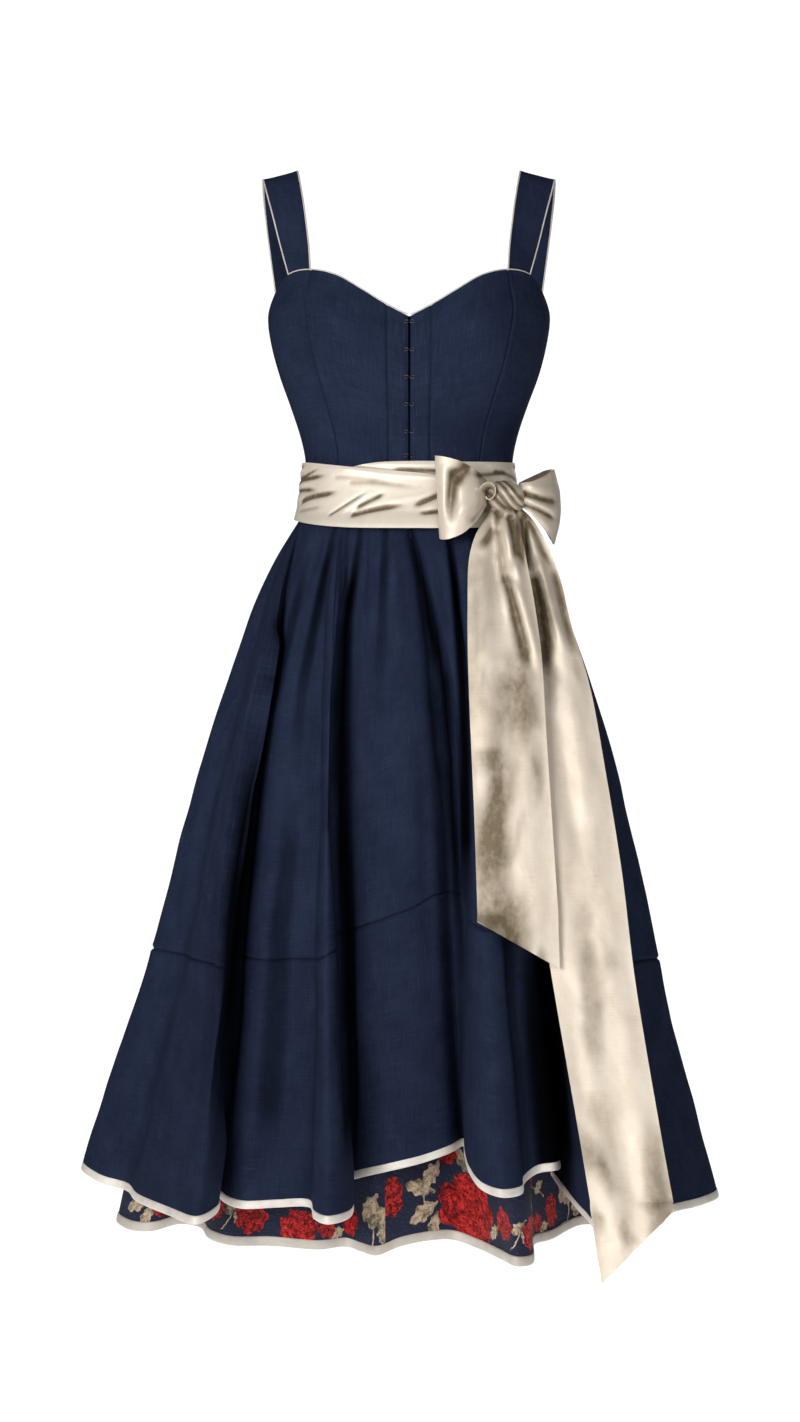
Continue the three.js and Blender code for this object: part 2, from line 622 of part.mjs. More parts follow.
// Threads of a skirt: one at each fold row and one half way to the next.
function threadsOf(rows) {
  const closed = rows.map((row) => new THREE.Vector3(row.x, row.y, row.hem));
  const curve = new THREE.CatmullRomCurve3(closed, true, 'centripetal');
  const count = rows.length * 2;
  const threads = [];
  for (let k = 0; k < count; k += 1) {
    const row = rows[Math.floor(k / 2)];
    const next = rows[(Math.floor(k / 2) + 1) % rows.length];
    const w = (k % 2) / 2;
    const turn = next.waist < row.waist ? 360 : 0;
    threads.push({
      waist: lerp(row.waist, next.waist + turn, w),
      foot: curve.getPoint(k / count),
      seam: lerp(row.seam ?? 0, next.seam ?? 0, w),
      swing: lerp(row.swing ?? 0, next.swing ?? 0, w),
      gore: w === 0 && Boolean(row.gore),
    });
  }
  return threads;
}

function threadPoint(thread, fall, inset) {
  const s = along(flare, 'fall', 'reach', fall);
  const p = bodyPoint(thread.waist, waistSeam);
  p.addScaledVector(normalOf(bodyPoint, thread.waist, waistSeam), -inset);
  const sway = thread.swing * Math.sin(Math.PI * Math.min(fall * 1.1, 1));
  return new THREE.Vector3(
    lerp(p.x, thread.foot.x, s) + sway,
    lerp(p.y, thread.foot.y, s),
    lerp(waistSeam - seamGap / 2, thread.foot.z, fall),
  );
}

// Panels between the gore seams, cut from one pair of closed grids.
function addGores(name, material, grid, normals, threads, wall) {
  const inner = offsetGrid(grid, normals, -wall);
  const cuts = threads.map((thread, k) => (thread.gore ? k : -1)).filter((k) => k >= 0);
  const cols = threads.length;
  cuts.forEach((from, n) => {
    const to = cuts[(n + 1) % cuts.length] + (n + 1 === cuts.length ? cols : 0);
    const take = (rows) => rows.map((row) => {
      const line = [];
      for (let k = from; k <= to; k += 1) line.push(row[k % cols].clone());
      const first = line[1].clone().sub(line[0]).normalize();
      const last = line[line.length - 2].clone().sub(line[line.length - 1]).normalize();
      line[0].addScaledVector(first, seamGap / 2 + 0.05);
      line[line.length - 1].addScaledVector(last, seamGap / 2 + 0.05);
      return line;
    });
    addCloth(`${name}_${n + 1}`, material, take(grid), take(inner));
  });
}

// Two rows of the binding below the cloth.
function bindingGrid(threads, depth, inset) {
  return [depth - seamGap, 0].map((rise) => threads.map((thread) => (
    threadPoint(thread, 1 + rise / (thread.foot.z - waistSeam), inset)
  )));
}
function addBinding(name, grid, normals) {
  const extra = (bindingWall - skirtWall) / 2;
  addCloth(name, cream, offsetGrid(grid, normals, extra), offsetGrid(grid, normals, -skirtWall - extra), true);
}

const overThreads = threadsOf([...overFront, ...backRows(overBack, backHem, backFlounceSeam, 1)]);
const upperGrid = [...upperFalls, 1].map((part, i) => overThreads.map((thread) => {
  const seamFall = (thread.seam + flounceGap / 2 - waistSeam) / (thread.foot.z - waistSeam);
  return threadPoint(thread, i === upperFalls.length ? seamFall : part * (seamFall / 0.657), 0);
}));
const flounceGrid = [0, ...flounceFalls, 1].map((part) => overThreads.map((thread) => {
  const drop = thread.foot.z - waistSeam;
  const start = (thread.seam - flounceGap / 2 - waistSeam) / drop;
  const end = 1 + bindingDepth / drop;
  return threadPoint(thread, lerp(start, end, part), 0);
}));
const overBinding = bindingGrid(overThreads, bindingDepth, 0);
const overNormals = gridNormals([...upperGrid, ...flounceGrid, ...overBinding], true);
const flounceStart = upperGrid.length;
const overBindingStart = flounceStart + flounceGrid.length;
shareNormals(overNormals, flounceStart);
shareNormals(overNormals, overBindingStart);
addGores('overskirt_gore', navy, upperGrid, overNormals.slice(0, flounceStart), overThreads, skirtWall);
addGores('flounce', navy, flounceGrid, overNormals.slice(flounceStart, overBindingStart), overThreads, skirtWall);
addBinding('overskirt_binding', overBinding, overNormals.slice(overBindingStart));

const underInset = skirtWall + 0.9;
const underThreads = threadsOf([...underFront, ...backRows(underBack, underBackHem, 0, 0.96)]);
const underGrid = [...underFalls, 1].map((part, i) => underThreads.map((thread) => {
  const end = 1 + underBindingDepth / (thread.foot.z - waistSeam);
  return threadPoint(thread, i === underFalls.length ? end : part, underInset);
}));
const underBinding = bindingGrid(underThreads, underBindingDepth, underInset);
const underNormals = gridNormals([...underGrid, ...underBinding], true);
shareNormals(underNormals, underGrid.length);
addGores('underskirt_gore', brocade, underGrid, underNormals, underThreads, skirtWall);
addBinding('underskirt_binding', underBinding, underNormals.slice(underGrid.length));

// ---- Sash ----
function addSashLayer(name, edges, lift, cols, rows) {
  const outer = [];
  const inner = [];
  for (let i = 0; i <= rows; i += 1) {
    outer.push([]);
    inner.push([]);
    for (let j = 0; j <= cols; j += 1) {
      const degrees = lerp(edges[0].angle, edges[edges.length - 1].angle, j / cols);
      const top = along(edges, 'angle', 'top', degrees);
      const bottom = along(edges, 'angle', 'bottom', degrees);
      const height = lerp(top, bottom, i / rows);
      const ripple = sashRipple * Math.sin(height * 0.14 + degrees * 0.04);
      const n = normalOf(sashPoint, degrees, height);
      const p = sashPoint(degrees, height).addScaledVector(n, lift + ripple);
      outer[i].push(p);
      inner[i].push(p.clone().addScaledVector(n, -silkWall));
    }
  }
  addCloth(name, silk, outer, inner);
}
addSashLayer('sash_front', sashFrontEdges, 2.6, 18, 6);
addSashLayer('sash_crossing', sashCrossEdges, 1.0, 16, 6);
addSashLayer('sash_back', sashBackEdges, 1.0, 20, 5);

// ---- Bow ----
function addLoop(name, stations) {
  const grid = loopRows.map((w) => stations.map((s) => {
    const bulge = Math.sin(Math.PI * w) * s.puff;
    return new THREE.Vector3(s.x, s.y - bulge, lerp(s.top, s.bottom, w));
  }));
  const normals = gridNormals(grid);
  addCloth(name, silk, offsetGrid(grid, normals, silkWall / 2), offsetGrid(grid, normals, -silkWall / 2));
}
addLoop('bow_loop_left', leftLoop);
addLoop('bow_loop_right', rightLoop);

function addKnot() {
  const rings = 7;
  const sides = 12;
  const points = [new THREE.Vector3(knot.x - knot.halfLength, knot.y, knot.z)];
  for (let i = 1; i < rings; i += 1) {
    const turn = (i / rings) * Math.PI;
    const ring = Math.sin(turn) ** 0.6;
    const x = -Math.cos(turn) * knot.halfLength;
    for (let k = 0; k < sides; k += 1) {
      const a = (k / sides) * Math.PI * 2 + i * 0.2;
      const fold = 1 + 0.07 * Math.cos(a * 3 + i * 0.9);
      points.push(new THREE.Vector3(
        knot.x + x,
        knot.y + knot.halfDepth * ring * fold * Math.cos(a),
        knot.z + knot.halfHeight * ring * fold * Math.sin(a) + x * knot.lean,
      ));
    }
  }
  points.push(new THREE.Vector3(knot.x + knot.halfLength, knot.y, knot.z + knot.halfLength * knot.lean));
  points[0].z -= knot.halfLength * knot.lean;
  const faces = [];
  const id = (i, k) => 1 + (i - 1) * sides + (k % sides);
  for (let k = 0; k < sides; k += 1) {
    faces.push([0, id(1, k), id(1, k + 1)]);
    faces.push([points.length - 1, id(rings - 1, k + 1), id(rings - 1, k)]);
    for (let i = 1; i < rings - 1; i += 1) {
      faces.push([id(i, k), id(i + 1, k), id(i + 1, k + 1)]);
      faces.push([id(i, k), id(i + 1, k + 1), id(i, k + 1)]);
    }
  }
  addBody('bow_knot', silk, points, faces);
}
addKnot();

function addTail(name, levels, tip, folds, cols) {
  const last = levels[levels.length - 1];
  const rows = [...levels.map((level) => ({ ...level, zLeft: level.z, zRight: level.z }))];
  const slopeLeft = (last.left - levels[levels.length - 2].left) / (last.z - levels[levels.length - 2].z);
  rows.pop();
  const z = Math.max(tip.leftDrop, tip.rightDrop) + 6;
  rows.push({ ...last, z, zLeft: z, zRight: z });
  rows.push({ ...last, y: tip.y, zLeft: tip.leftDrop, zRight: tip.rightDrop });
  const grid = rows.map((row) => {
    const line = [];
    for (let j = 0; j <= cols; j += 1) {
      const w = j / cols;
      const height = lerp(row.zLeft, row.zRight, w);
      const x = lerp(row.left, row.right, w) + (height - last.z) * slopeLeft * (row.z < last.z ? 1 : 0);
      const wave = Math.cos(w * Math.PI * 2 * folds) * row.crease;
      line.push(new THREE.Vector3(x, row.y + wave, height));
    }
    return line;
  });
  const normals = gridNormals(grid);
  addCloth(name, silk, offsetGrid(grid, normals, silkWall / 2), offsetGrid(grid, normals, -silkWall / 2));
}
addTail('bow_tail_short', shortTail, shortTailPoint, 2, 8);
addTail('bow_tail_long', longTail, longTailPoint, 2, 8);

export default group;
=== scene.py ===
import bpy
import math
import numpy as np
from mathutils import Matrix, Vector, noise


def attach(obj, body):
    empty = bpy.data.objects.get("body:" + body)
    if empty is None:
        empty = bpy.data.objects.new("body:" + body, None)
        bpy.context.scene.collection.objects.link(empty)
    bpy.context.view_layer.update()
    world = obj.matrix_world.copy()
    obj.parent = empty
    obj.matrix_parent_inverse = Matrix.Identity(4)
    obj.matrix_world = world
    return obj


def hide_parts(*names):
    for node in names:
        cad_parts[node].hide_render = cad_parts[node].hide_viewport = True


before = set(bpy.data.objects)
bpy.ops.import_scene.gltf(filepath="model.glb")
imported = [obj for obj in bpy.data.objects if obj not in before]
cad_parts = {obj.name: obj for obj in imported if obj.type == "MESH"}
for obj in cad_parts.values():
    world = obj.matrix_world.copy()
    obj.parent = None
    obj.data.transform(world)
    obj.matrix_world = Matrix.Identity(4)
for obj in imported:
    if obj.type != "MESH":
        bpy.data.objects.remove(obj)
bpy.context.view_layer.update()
mm = 0.001
print("frame loaded")

# camera, level with the middle of the dress
view = {"distance": 3.3, "across": -0.01035, "height": -0.6164, "lens": 72.65, "sensor": 36}
camData = bpy.data.cameras.new("studioCamera")
camData.lens = view["lens"]
camData.sensor_fit = 'VERTICAL'
camData.sensor_height = view["sensor"]
camera = bpy.data.objects.new("studioCamera", camData)
bpy.context.scene.collection.objects.link(camera)
camera.location = (view["across"], -view["distance"], view["height"])
camera.rotation_euler = (math.radians(90), 0, 0)
bpy.context.scene.camera = camera


class Signal:
    # a socket that can be used in plain sums
    def __init__(self, maker, socket):
        self.maker = maker
        self.socket = socket

    def math(self, operation, *others, clamp=False):
        return self.maker.math(operation, self, *others, clamp=clamp)

    def __add__(self, other):
        return self.math('ADD', other)

    def __sub__(self, other):
        return self.math('SUBTRACT', other)

    def __rsub__(self, other):
        return self.maker.math('SUBTRACT', other, self)

    def __mul__(self, other):
        return self.math('MULTIPLY', other)

    def __truediv__(self, other):
        return self.math('DIVIDE', other)

    def __neg__(self):
        return self.math('MULTIPLY', -1.0)

    def __lt__(self, other):
        return self.math('LESS_THAN', other)

    def __gt__(self, other):
        return self.math('GREATER_THAN', other)

    __radd__ = __add__
    __rmul__ = __mul__

    def sin(self):
        return self.math('SINE')

    def abs(self):
        return self.math('ABSOLUTE')

    def least(self, other):
        return self.math('MINIMUM', other)

    def most(self, other):
        return self.math('MAXIMUM', other)

    def clamped(self):
        return self.math('ADD', 0.0, clamp=True)

    def step(self, low, high):
        # smooth rise from 0 at low to 1 at high
        made = self.maker.node('ShaderNodeMapRange', {"interpolation_type": 'SMOOTHSTEP'},
                               {0: self, 1: low, 2: high, 3: 0.0, 4: 1.0})
        return self.maker.signal(made)


class Finish:
    # one material and the nodes in it
    def __init__(self, name, **constants):
        self.material = bpy.data.materials.new(name)
        self.material.use_nodes = True
        self.tree = self.material.node_tree
        self.shader = self.tree.nodes["Principled BSDF"]
        for key, value in constants.items():
            self.shader.inputs[key.replace("_", " ")].default_value = value

    def node(self, kind, settings=None, sockets=None):
        made = self.tree.nodes.new(kind)
        for key, value in (settings or {}).items():
            if key == "stops":
                ramp = made.color_ramp
                while len(ramp.elements) < len(value):
                    ramp.elements.new(0.5)
                for element, (place, colour) in zip(ramp.elements, value):
                    element.position = place
                    element.color = colour
            else:
                setattr(made, key, value)
        for key, value in (sockets or {}).items():
            socket = made.inputs[key]
            if isinstance(value, Signal):
                self.tree.links.new(value.socket, socket)
            else:
                socket.default_value = value
        return made

    def math(self, operation, *values, clamp=False):
        made = self.node('ShaderNodeMath', {"operation": operation, "use_clamp": clamp},
                         dict(enumerate(values)))
        return self.signal(made)

    def signal(self, made, output=0):
        return Signal(self, made.outputs[output])

    def uv(self):
        return self.signal(self.node('ShaderNodeUVMap', {"uv_map": "cloth"}))

    def placed(self, vector, location=(0, 0, 0), turn=0.0, scale=(1, 1, 1), kind='POINT'):
        return self.signal(self.node('ShaderNodeMapping', {"vector_type": kind}, {
            "Vector": vector, "Location": location, "Rotation": (0, 0, turn), "Scale": scale}))

    def parts(self, vector):
        made = self.node('ShaderNodeSeparateXYZ', None, {0: vector})
        return [self.signal(made, i) for i in range(3)]

    def mix(self, factor, first, second):
        made = self.node('ShaderNodeMix', {"data_type": 'RGBA'}, {0: factor, 6: first, 7: second})
        return self.signal(made, 2)

    def noise(self, vector, scale, detail=2.0, rough=0.5, distort=0.0):
        made = self.node('ShaderNodeTexNoise', None, {
            "Vector": vector, "Scale": scale, "Detail": detail, "Roughness": rough, "Distortion": distort})
        return self.signal(made)

    def nearest(self, vector, places):
        # own coordinates of the nearest of several motifs, and how far its middle is
        best, least = None, None
        for location, turn, scale in places:
            local = self.placed(vector, location=location, turn=turn, scale=scale, kind='TEXTURE')
            flat = self.signal(self.node('ShaderNodeVectorMath', {"operation": 'MULTIPLY'},
                                         {0: local, 1: (1, 1, 0)}))
            far = self.signal(self.node('ShaderNodeVectorMath', {"operation": 'LENGTH'}, {0: flat}), 1)
            if best is None:
                best, least = local, far
                continue
            best = self.signal(self.node('ShaderNodeMix', {"data_type": 'VECTOR'},
                                         {0: far < least, 4: best, 5: local}), 1)
            least = least.least(far)
        return best, least

    def foldShade(self):
        # painted on the cloth: above 0 a fold's shade, below 0 a ridge's light
        return self.signal(self.node('ShaderNodeAttribute', {"attribute_name": "foldShade"}), 2)

    def feed(self, name, value):
        self.tree.links.new(value.socket, self.shader.inputs[name])

    def bump(self, height, distance, strength=1.0):
        made = self.node('ShaderNodeBump', None, {
            "Strength": strength, "Distance": distance, "Height": height})
        self.tree.links.new(made.outputs[0], self.shader.inputs["Normal"])


def rgb(r, g, b):
    return (r, g, b, 1.0)


def makeLinen():
    look = {"dark": rgb(0.0125, 0.0185, 0.042), "light": rgb(0.027, 0.037, 0.074),
            # fold is a painted shade colour for the skirt's folds and valleys
            "slub": rgb(0.050, 0.064, 0.112), "fold": rgb(0.0002, 0.0004, 0.0012),
            "yarn": 0.0011}      # m from thread to thread
    finish = Finish("navyLinen", Specular_IOR_Level=0.03)
    uv = finish.uv()
    x, y = finish.parts(uv)[:2]
    per = 2 * math.pi / look["yarn"]
    warp = (x * per).sin() * 0.5 + 0.5
    weft = (y * per).sin() * 0.5 + 0.5
    over = ((x * (per / 2)).sin() * (y * (per / 2)).sin()) > 0
    weave = warp * over + weft * (1 - over)
    warpSlub = finish.noise(finish.placed(uv, scale=(900, 34, 1)), 1.0, 3)
    weftSlub = finish.noise(finish.placed(uv, location=(3, 7, 0), scale=(34, 900, 1)), 1.0, 3)
    cloud = finish.noise(uv, 22.0, 4, 0.6)
    streak = warpSlub * 0.5 + weftSlub * 0.5
    tone = (cloud * 0.45 + streak * 0.75 + weave * 0.12 - 0.18).clamped()
    base = finish.mix(tone.step(0.28, 0.72), look["dark"], look["light"])
    fleck = warpSlub.step(0.66, 0.78).most(weftSlub.step(0.66, 0.78)) * 0.55
    base = finish.mix(fleck, base, look["slub"])
    # painted shade: the foldShade attribute darkens the linen to near-black in folds and valleys
    finish.feed("Base Color", finish.mix(finish.foldShade(), base, look["fold"]))
    finish.feed("Roughness", cloud * 0.12 + 0.8)
    finish.bump(weave * 0.5 + streak * 1.3 + cloud * 0.5, 0.0006, 0.55)
    return finish.material


def makeSilk():
    look = {"deep": rgb(0.59, 0.475, 0.345), "mid": rgb(0.82, 0.71, 0.58), "light": rgb(0.91, 0.82, 0.71),
            # fold is a painted shade colour for folds, the last colour a painted highlight for ridges
            "fold": rgb(0.165, 0.122, 0.070), "paintedRidgeHighlight": rgb(1.0, 0.925, 0.80)}
    finish = Finish("champagneSilk", Metallic=0.3, Specular_IOR_Level=0.4)
    uv = finish.uv()
    slub = finish.noise(finish.placed(uv, scale=(40, 1300, 1)), 1.0, 3)
    fine = finish.noise(finish.placed(uv, location=(5, 2, 0), scale=(1500, 90, 1)), 1.0, 2)
    pool = finish.noise(finish.placed(uv, scale=(13, 8, 1)), 1.0, 3, 0.62, 0.6)
    patch = finish.noise(finish.placed(uv, location=(9, 4, 0), scale=(30, 22, 1)), 1.0, 4, 0.6, 0.8)
    tone = (pool * 0.55 + patch * 0.35 + slub * 0.3 + fine * 0.15 - 0.14).clamped()
    ramp = finish.node('ShaderNodeValToRGB', {"stops": [
        (0.2, look["deep"]), (0.5, look["mid"]), (0.78, look["light"])]}, {0: tone})
    # painted shade in folds, broken up by noise, and a painted highlight on ridges, both set by foldShade
    paintedShadeMottle = finish.noise(finish.placed(uv, location=(2, 7, 0), scale=(110, 75, 1)), 1.0, 4, 0.6)
    fold = (finish.foldShade() * (0.6 + paintedShadeMottle * 0.8)).clamped()
    paintedRidgeLight = (-finish.foldShade()).clamped()
    base = finish.mix(paintedRidgeLight, finish.signal(ramp), look["paintedRidgeHighlight"])
    finish.feed("Base Color", finish.mix(fold, base, look["fold"]))
    finish.feed("Roughness", pool * 0.1 + slub * 0.08 + 0.40)
    finish.bump(slub * 0.35 + fine * 0.25 + patch * 1.3 + pool * 1.4, 0.0008, 0.4)
    return finish.material


def makeSatin():
    look = {"shade": rgb(0.55, 0.50, 0.44), "light": rgb(0.76, 0.71, 0.65), "fold": rgb(0.22, 0.18, 0.13)}
    finish = Finish("creamSatin", Sheen_Weight=0.15, Specular_IOR_Level=0.6)
    uv = finish.uv()
    thread = finish.noise(finish.placed(uv, scale=(90, 1600, 1)), 1.0, 2)
    pull = finish.noise(finish.placed(uv, scale=(26, 40, 1)), 1.0, 3, 0.6)
    tone = (pull * 0.7 + thread * 0.3).clamped()
    base = finish.mix(tone.step(0.3, 0.62), look["shade"], look["light"])
    # painted shade: foldShade darkens the satin towards its fold colour
    finish.feed("Base Color", finish.mix(finish.foldShade(), base, look["fold"]))
    finish.feed("Roughness", pull * 0.2 + 0.36)
    finish.bump(pull * 1.2 + thread * 0.2, 0.0006, 0.35)
    return finish.material


def motifPlaces(rows, turned=True):
    # a rose keeps its turn as the third coordinate, for its petals
    return [((x * mm, y * mm, 0 if turned else -turn), turn if turned else 0.0, (long * mm, wide * mm, 1))
            for x, y, long, wide, turn in rows]


def makeBrocade():
    # motifs in mm along the cloth: x, y, half length, half width, turn
    roses = [(115, 30, 47, 39, 0.4), (10, 47, 14, 23, 1.1), (302, 13, 23, 19, 2.1), (336, 12, 12, 11, 0.7),
             (246, 22, 20, 19, 4.0), (192, 30, 19, 18, 3.1), (369, 22, 12, 19, 0.9), (82, 86, 14, 12, 5.1),
             (300, 74, 26, 22, 1.4)]
    leaves = [(46, 50, 21, 9, -0.3), (61, 62, 20, 9, 0.9), (50, 22, 22, 9, 0.5), (64, 6, 16, 7.2, 1.2),
              (400, 40, 20, 10.2, 1.0), (412, 30, 18, 9.6, 0.6), (418, 14, 15, 7.2, 1.5),
              (220, 30, 12, 6, 0.6), (232, 18, 12, 6, -0.9), (340, 52, 13, 6, 0.5),
              (104, 82, 18, 9, -0.8), (350, 6, 12, 6, 0.3), (268, 48, 16, 7.2, 2.2),
              (164, 16, 15, 6.6, 0.6), (180, 78, 18, 8.4, 0.6)]
    twigs = [(406, 14, 16, 0.9, 1.2), (220, 22, 22, 0.9, 0.8), (332, 50, 24, 0.9, -0.5), (52, 36, 20, 1, 1.3)]
    look = {"tile": (0.42, 0.105), "rowShift": 0.37,      # tile in m, shift of the next row in tiles
            "ground": rgb(0.0085, 0.012, 0.032), "lift": rgb(0.026, 0.034, 0.074),
            # red is the rose's own colour; the darker and brighter reds are painted shadow and painted
            # highlight on its relief
            "red": rgb(0.30, 0.008, 0.011), "paintedShadowRed": rgb(0.028, 0.0014, 0.0026),
            "paintedHighlightRed": rgb(0.76, 0.036, 0.030), "leaf": rgb(0.60, 0.455, 0.315),
            "leafDark": rgb(0.060, 0.045, 0.034), "moss": rgb(0.17, 0.155, 0.095)}
    finish = Finish("roseBrocade", Specular_IOR_Level=0.25)
    uv = finish.uv()
    x, y = finish.parts(uv)[:2]
    width, height = look["tile"]
    row = (y / height).math('FLOOR')
    tileX = ((x + row * (width * look["rowShift"])) / width).math('FRACT') * width
    tileY = (y / height).math('FRACT') * height
    ragged = finish.noise(uv, 120.0, 4, 0.62) - 0.5
    crumple = finish.noise(finish.placed(uv, location=(4, 1, 0)), 330.0, 3, 0.6, 1.2)
    cells = []
    for alongX, alongY in ((0.013, 0.014), (0.005, 0.006)):      # ragged edges of roses and of leaves, m
        cells.append(finish.signal(finish.node('ShaderNodeCombineXYZ', None, {
            0: tileX + ragged * alongX, 1: tileY - ragged * alongY})))
    roseCell, leafCell = cells
    # the nearest flower's own coordinates, then its petals once
    flower, far = finish.nearest(roseCell, motifPlaces(roses, turned=False))
    lx, ly, phase = finish.parts(flower)
    angle = ly.math('ARCTAN2', lx) + phase
    roseMask = far < (angle * 3.5).sin().abs() * 0.2 + 0.82
    ring = (far * 3.6).math('FLOOR')
    lobe = (angle * 2.5 + ring * 2.1 + far * 1.6).sin().abs()
    petals = ((far * 3.6 + lobe * 0.6).math('FRACT') * 0.55 + lobe * 0.45) * roseMask
    lx, ly = finish.parts(finish.nearest(leafCell, motifPlaces(leaves))[0])[:2]
    leafMask = (1 - lx * lx) > ly.abs() + (lx * 11).sin() * 0.14
    veins = ((lx * 9 + ly.abs() * 6).sin() * 0.5 + 0.5).most(1 - ly.abs() * 6) * leafMask
    lx, ly = finish.parts(finish.nearest(leafCell, motifPlaces(twigs))[0])[:2]
    bend = ly - (lx * 2.2).sin() * 3.0
    leafMask = leafMask.most((lx.abs() < 1.0) * (bend.abs() < 1.0))
    leafMask = leafMask * (1 - roseMask)
    crinkle = finish.signal(finish.node('ShaderNodeTexVoronoi', {"feature": 'DISTANCE_TO_EDGE'},
                                        {"Vector": roseCell, "Scale": 190.0, "Randomness": 1.0}))
    floats = finish.noise(finish.placed(uv, scale=(260, 1500, 1)), 1.0, 3)
    patch = finish.noise(uv, 60.0, 3, 0.6)
    lift = (floats * 0.7 + crinkle * 1.4 + crumple * 0.4 - 0.45).clamped()
    ground = finish.mix(lift, look["ground"], look["lift"])
    rumple = finish.noise(finish.placed(uv, location=(8, 3, 0)), 150.0, 2, 0.5, 1.5)
    # the rose's woven red, with painted shade in the low crinkles and a painted highlight on the raised ones,
    # following its relief
    fold = petals * 0.65 + crumple * 0.9 + rumple * 1.7 - 1.25
    red = finish.mix((fold * 2.6 + 0.26).clamped(), look["paintedShadowRed"], look["red"])
    red = finish.mix(fold.step(0.30, 0.72), red, look["paintedHighlightRed"])
    green = finish.mix(patch.step(0.50, 0.62), look["leaf"], look["moss"])
    green = finish.mix((veins * 0.6 + crumple * 1.1 - 0.70).clamped(), green, look["leafDark"])
    colour = finish.mix(leafMask, ground, green)
    colour = finish.mix(roseMask, colour, red)
    finish.feed("Base Color", colour)
    finish.feed("Roughness", 0.66 - roseMask * 0.14 - leafMask * 0.1 + floats * 0.1)
    raised = (roseMask * 1.2 + roseMask * fold * 2.2 + leafMask * 0.9 + veins * 0.4 + crinkle * 1.3
              + crumple * 1.6 + floats * 0.2)
    finish.bump(raised, 0.0016, 0.9)
    return finish.material


def makeSteel():
    finish = Finish("hookSteel", Base_Color=rgb(0.10, 0.10, 0.11), Metallic=1.0)
    coordinates = finish.signal(finish.node('ShaderNodeTexCoord'), 3)
    worn = finish.noise(coordinates, 900.0, 3)
    finish.feed("Roughness", worn * 0.3 + 0.16)
    return finish.material


steel = makeSteel()
# each cloth's material and its slot
stuffs = {"linen": (makeLinen(), "navy_linen"), "silk": (makeSilk(), "champagne_silk"),
          "satin": (makeSatin(), "cream_satin"), "brocade": (makeBrocade(), "rose_brocade")}
print("finishes made")


def along(rows, key, column, value):
    # a column of a table, smooth through its rows
    last = len(rows) - 1
    rising = rows[last][key] > rows[0][key]
    i = 0
    while i < last - 1 and (value > rows[i + 1][key] if rising else value < rows[i + 1][key]):
        i += 1
    k0, k1 = rows[i][key], rows[i + 1][key]
    w = min(max((value - k0) / (k1 - k0), 0.0), 1.0)

    def slope(j):
        a, b = max(j - 1, 0), min(j + 1, last)
        return (rows[b][column] - rows[a][column]) / (rows[b][key] - rows[a][key])

    w2, w3 = w * w, w * w * w
    return ((2 * w3 - 3 * w2 + 1) * rows[i][column] + (w3 - 2 * w2 + w) * slope(i) * (k1 - k0)
            + (3 * w2 - 2 * w3) * rows[i + 1][column] + (w3 - w2) * slope(i + 1) * (k1 - k0))


def lerp(a, b, w):
    return a + (b - a) * w


def gridNormals(points, closed=False):
    # points is rows x columns x 3, rows run downwards
    if closed:
        across = np.roll(points, -1, axis=1) - np.roll(points, 1, axis=1)
    else:
        across = np.gradient(points, axis=1)
    down = np.gradient(points, axis=0)
    normals = np.cross(down, across)
    return normals / np.maximum(np.linalg.norm(normals, axis=2, keepdims=True), 1e-12)


def softNoise(points, scale, seed=0.0):
    values = [noise.noise(Vector((x * scale + seed, y * scale - seed, z * scale + 2 * seed)))
              for x, y, z in points.reshape(-1, 3)]
    return np.array(values).reshape(points.shape[0], points.shape[1], 1)


def creaseAmount(points, creases):
    # each crease runs from x1, z1 to x2, z2 in mm; depth below 0 is a trough
    x, z = points[..., 0], points[..., 2]
    amount = np.zeros(x.shape)
    for x1, z1, x2, z2, width, depth in creases:
        dx, dz = x2 - x1, z2 - z1
        length = math.hypot(dx, dz)
        t = ((x - x1) * dx + (z - z1) * dz) / (length * length)
        away = ((x - x1) * dz - (z - z1) * dx) / length
        away = away + np.sin(t * 5 + x1) * width * 0.25
        fade = np.clip(t / 0.12, 0, 1) * np.clip((1 - t) / 0.3, 0, 1)
        fade = fade * fade * (3 - 2 * fade)
        amount += depth * fade * np.exp(-(away / width) ** 2)
    return amount


def pressed(points, normals, amount, side=-1, downTo=None):
    # presses on one side of the body alone, and fades out on the way down to a height
    amount = amount * np.clip(side * points[..., 1] / 20.0, 0, 1)
    if downTo is not None:
        amount = amount * np.clip((points[..., 2] - downTo) / 120, 0, 1)
    return points + normals * amount[..., None]


def pressCreases(points, normals, creases, side=-1, downTo=None):
    return pressed(points, normals, creaseAmount(points, creases), side, downTo)


def turnOutward():
    bpy.ops.object.mode_set(mode='EDIT')
    bpy.ops.mesh.select_all(action='SELECT')
    bpy.ops.mesh.normals_make_consistent(inside=False)
    bpy.ops.object.mode_set(mode='OBJECT')


def dressIn(obj, stuff):
    # the cloth's material, on the dress's one body
    material, slot = stuffs[stuff]
    obj.data.materials.clear()
    obj.data.materials.append(material)
    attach(obj, "root")


making = {"mergeWithin": 0.00002, "sharpAbove": 50}      # m, degrees


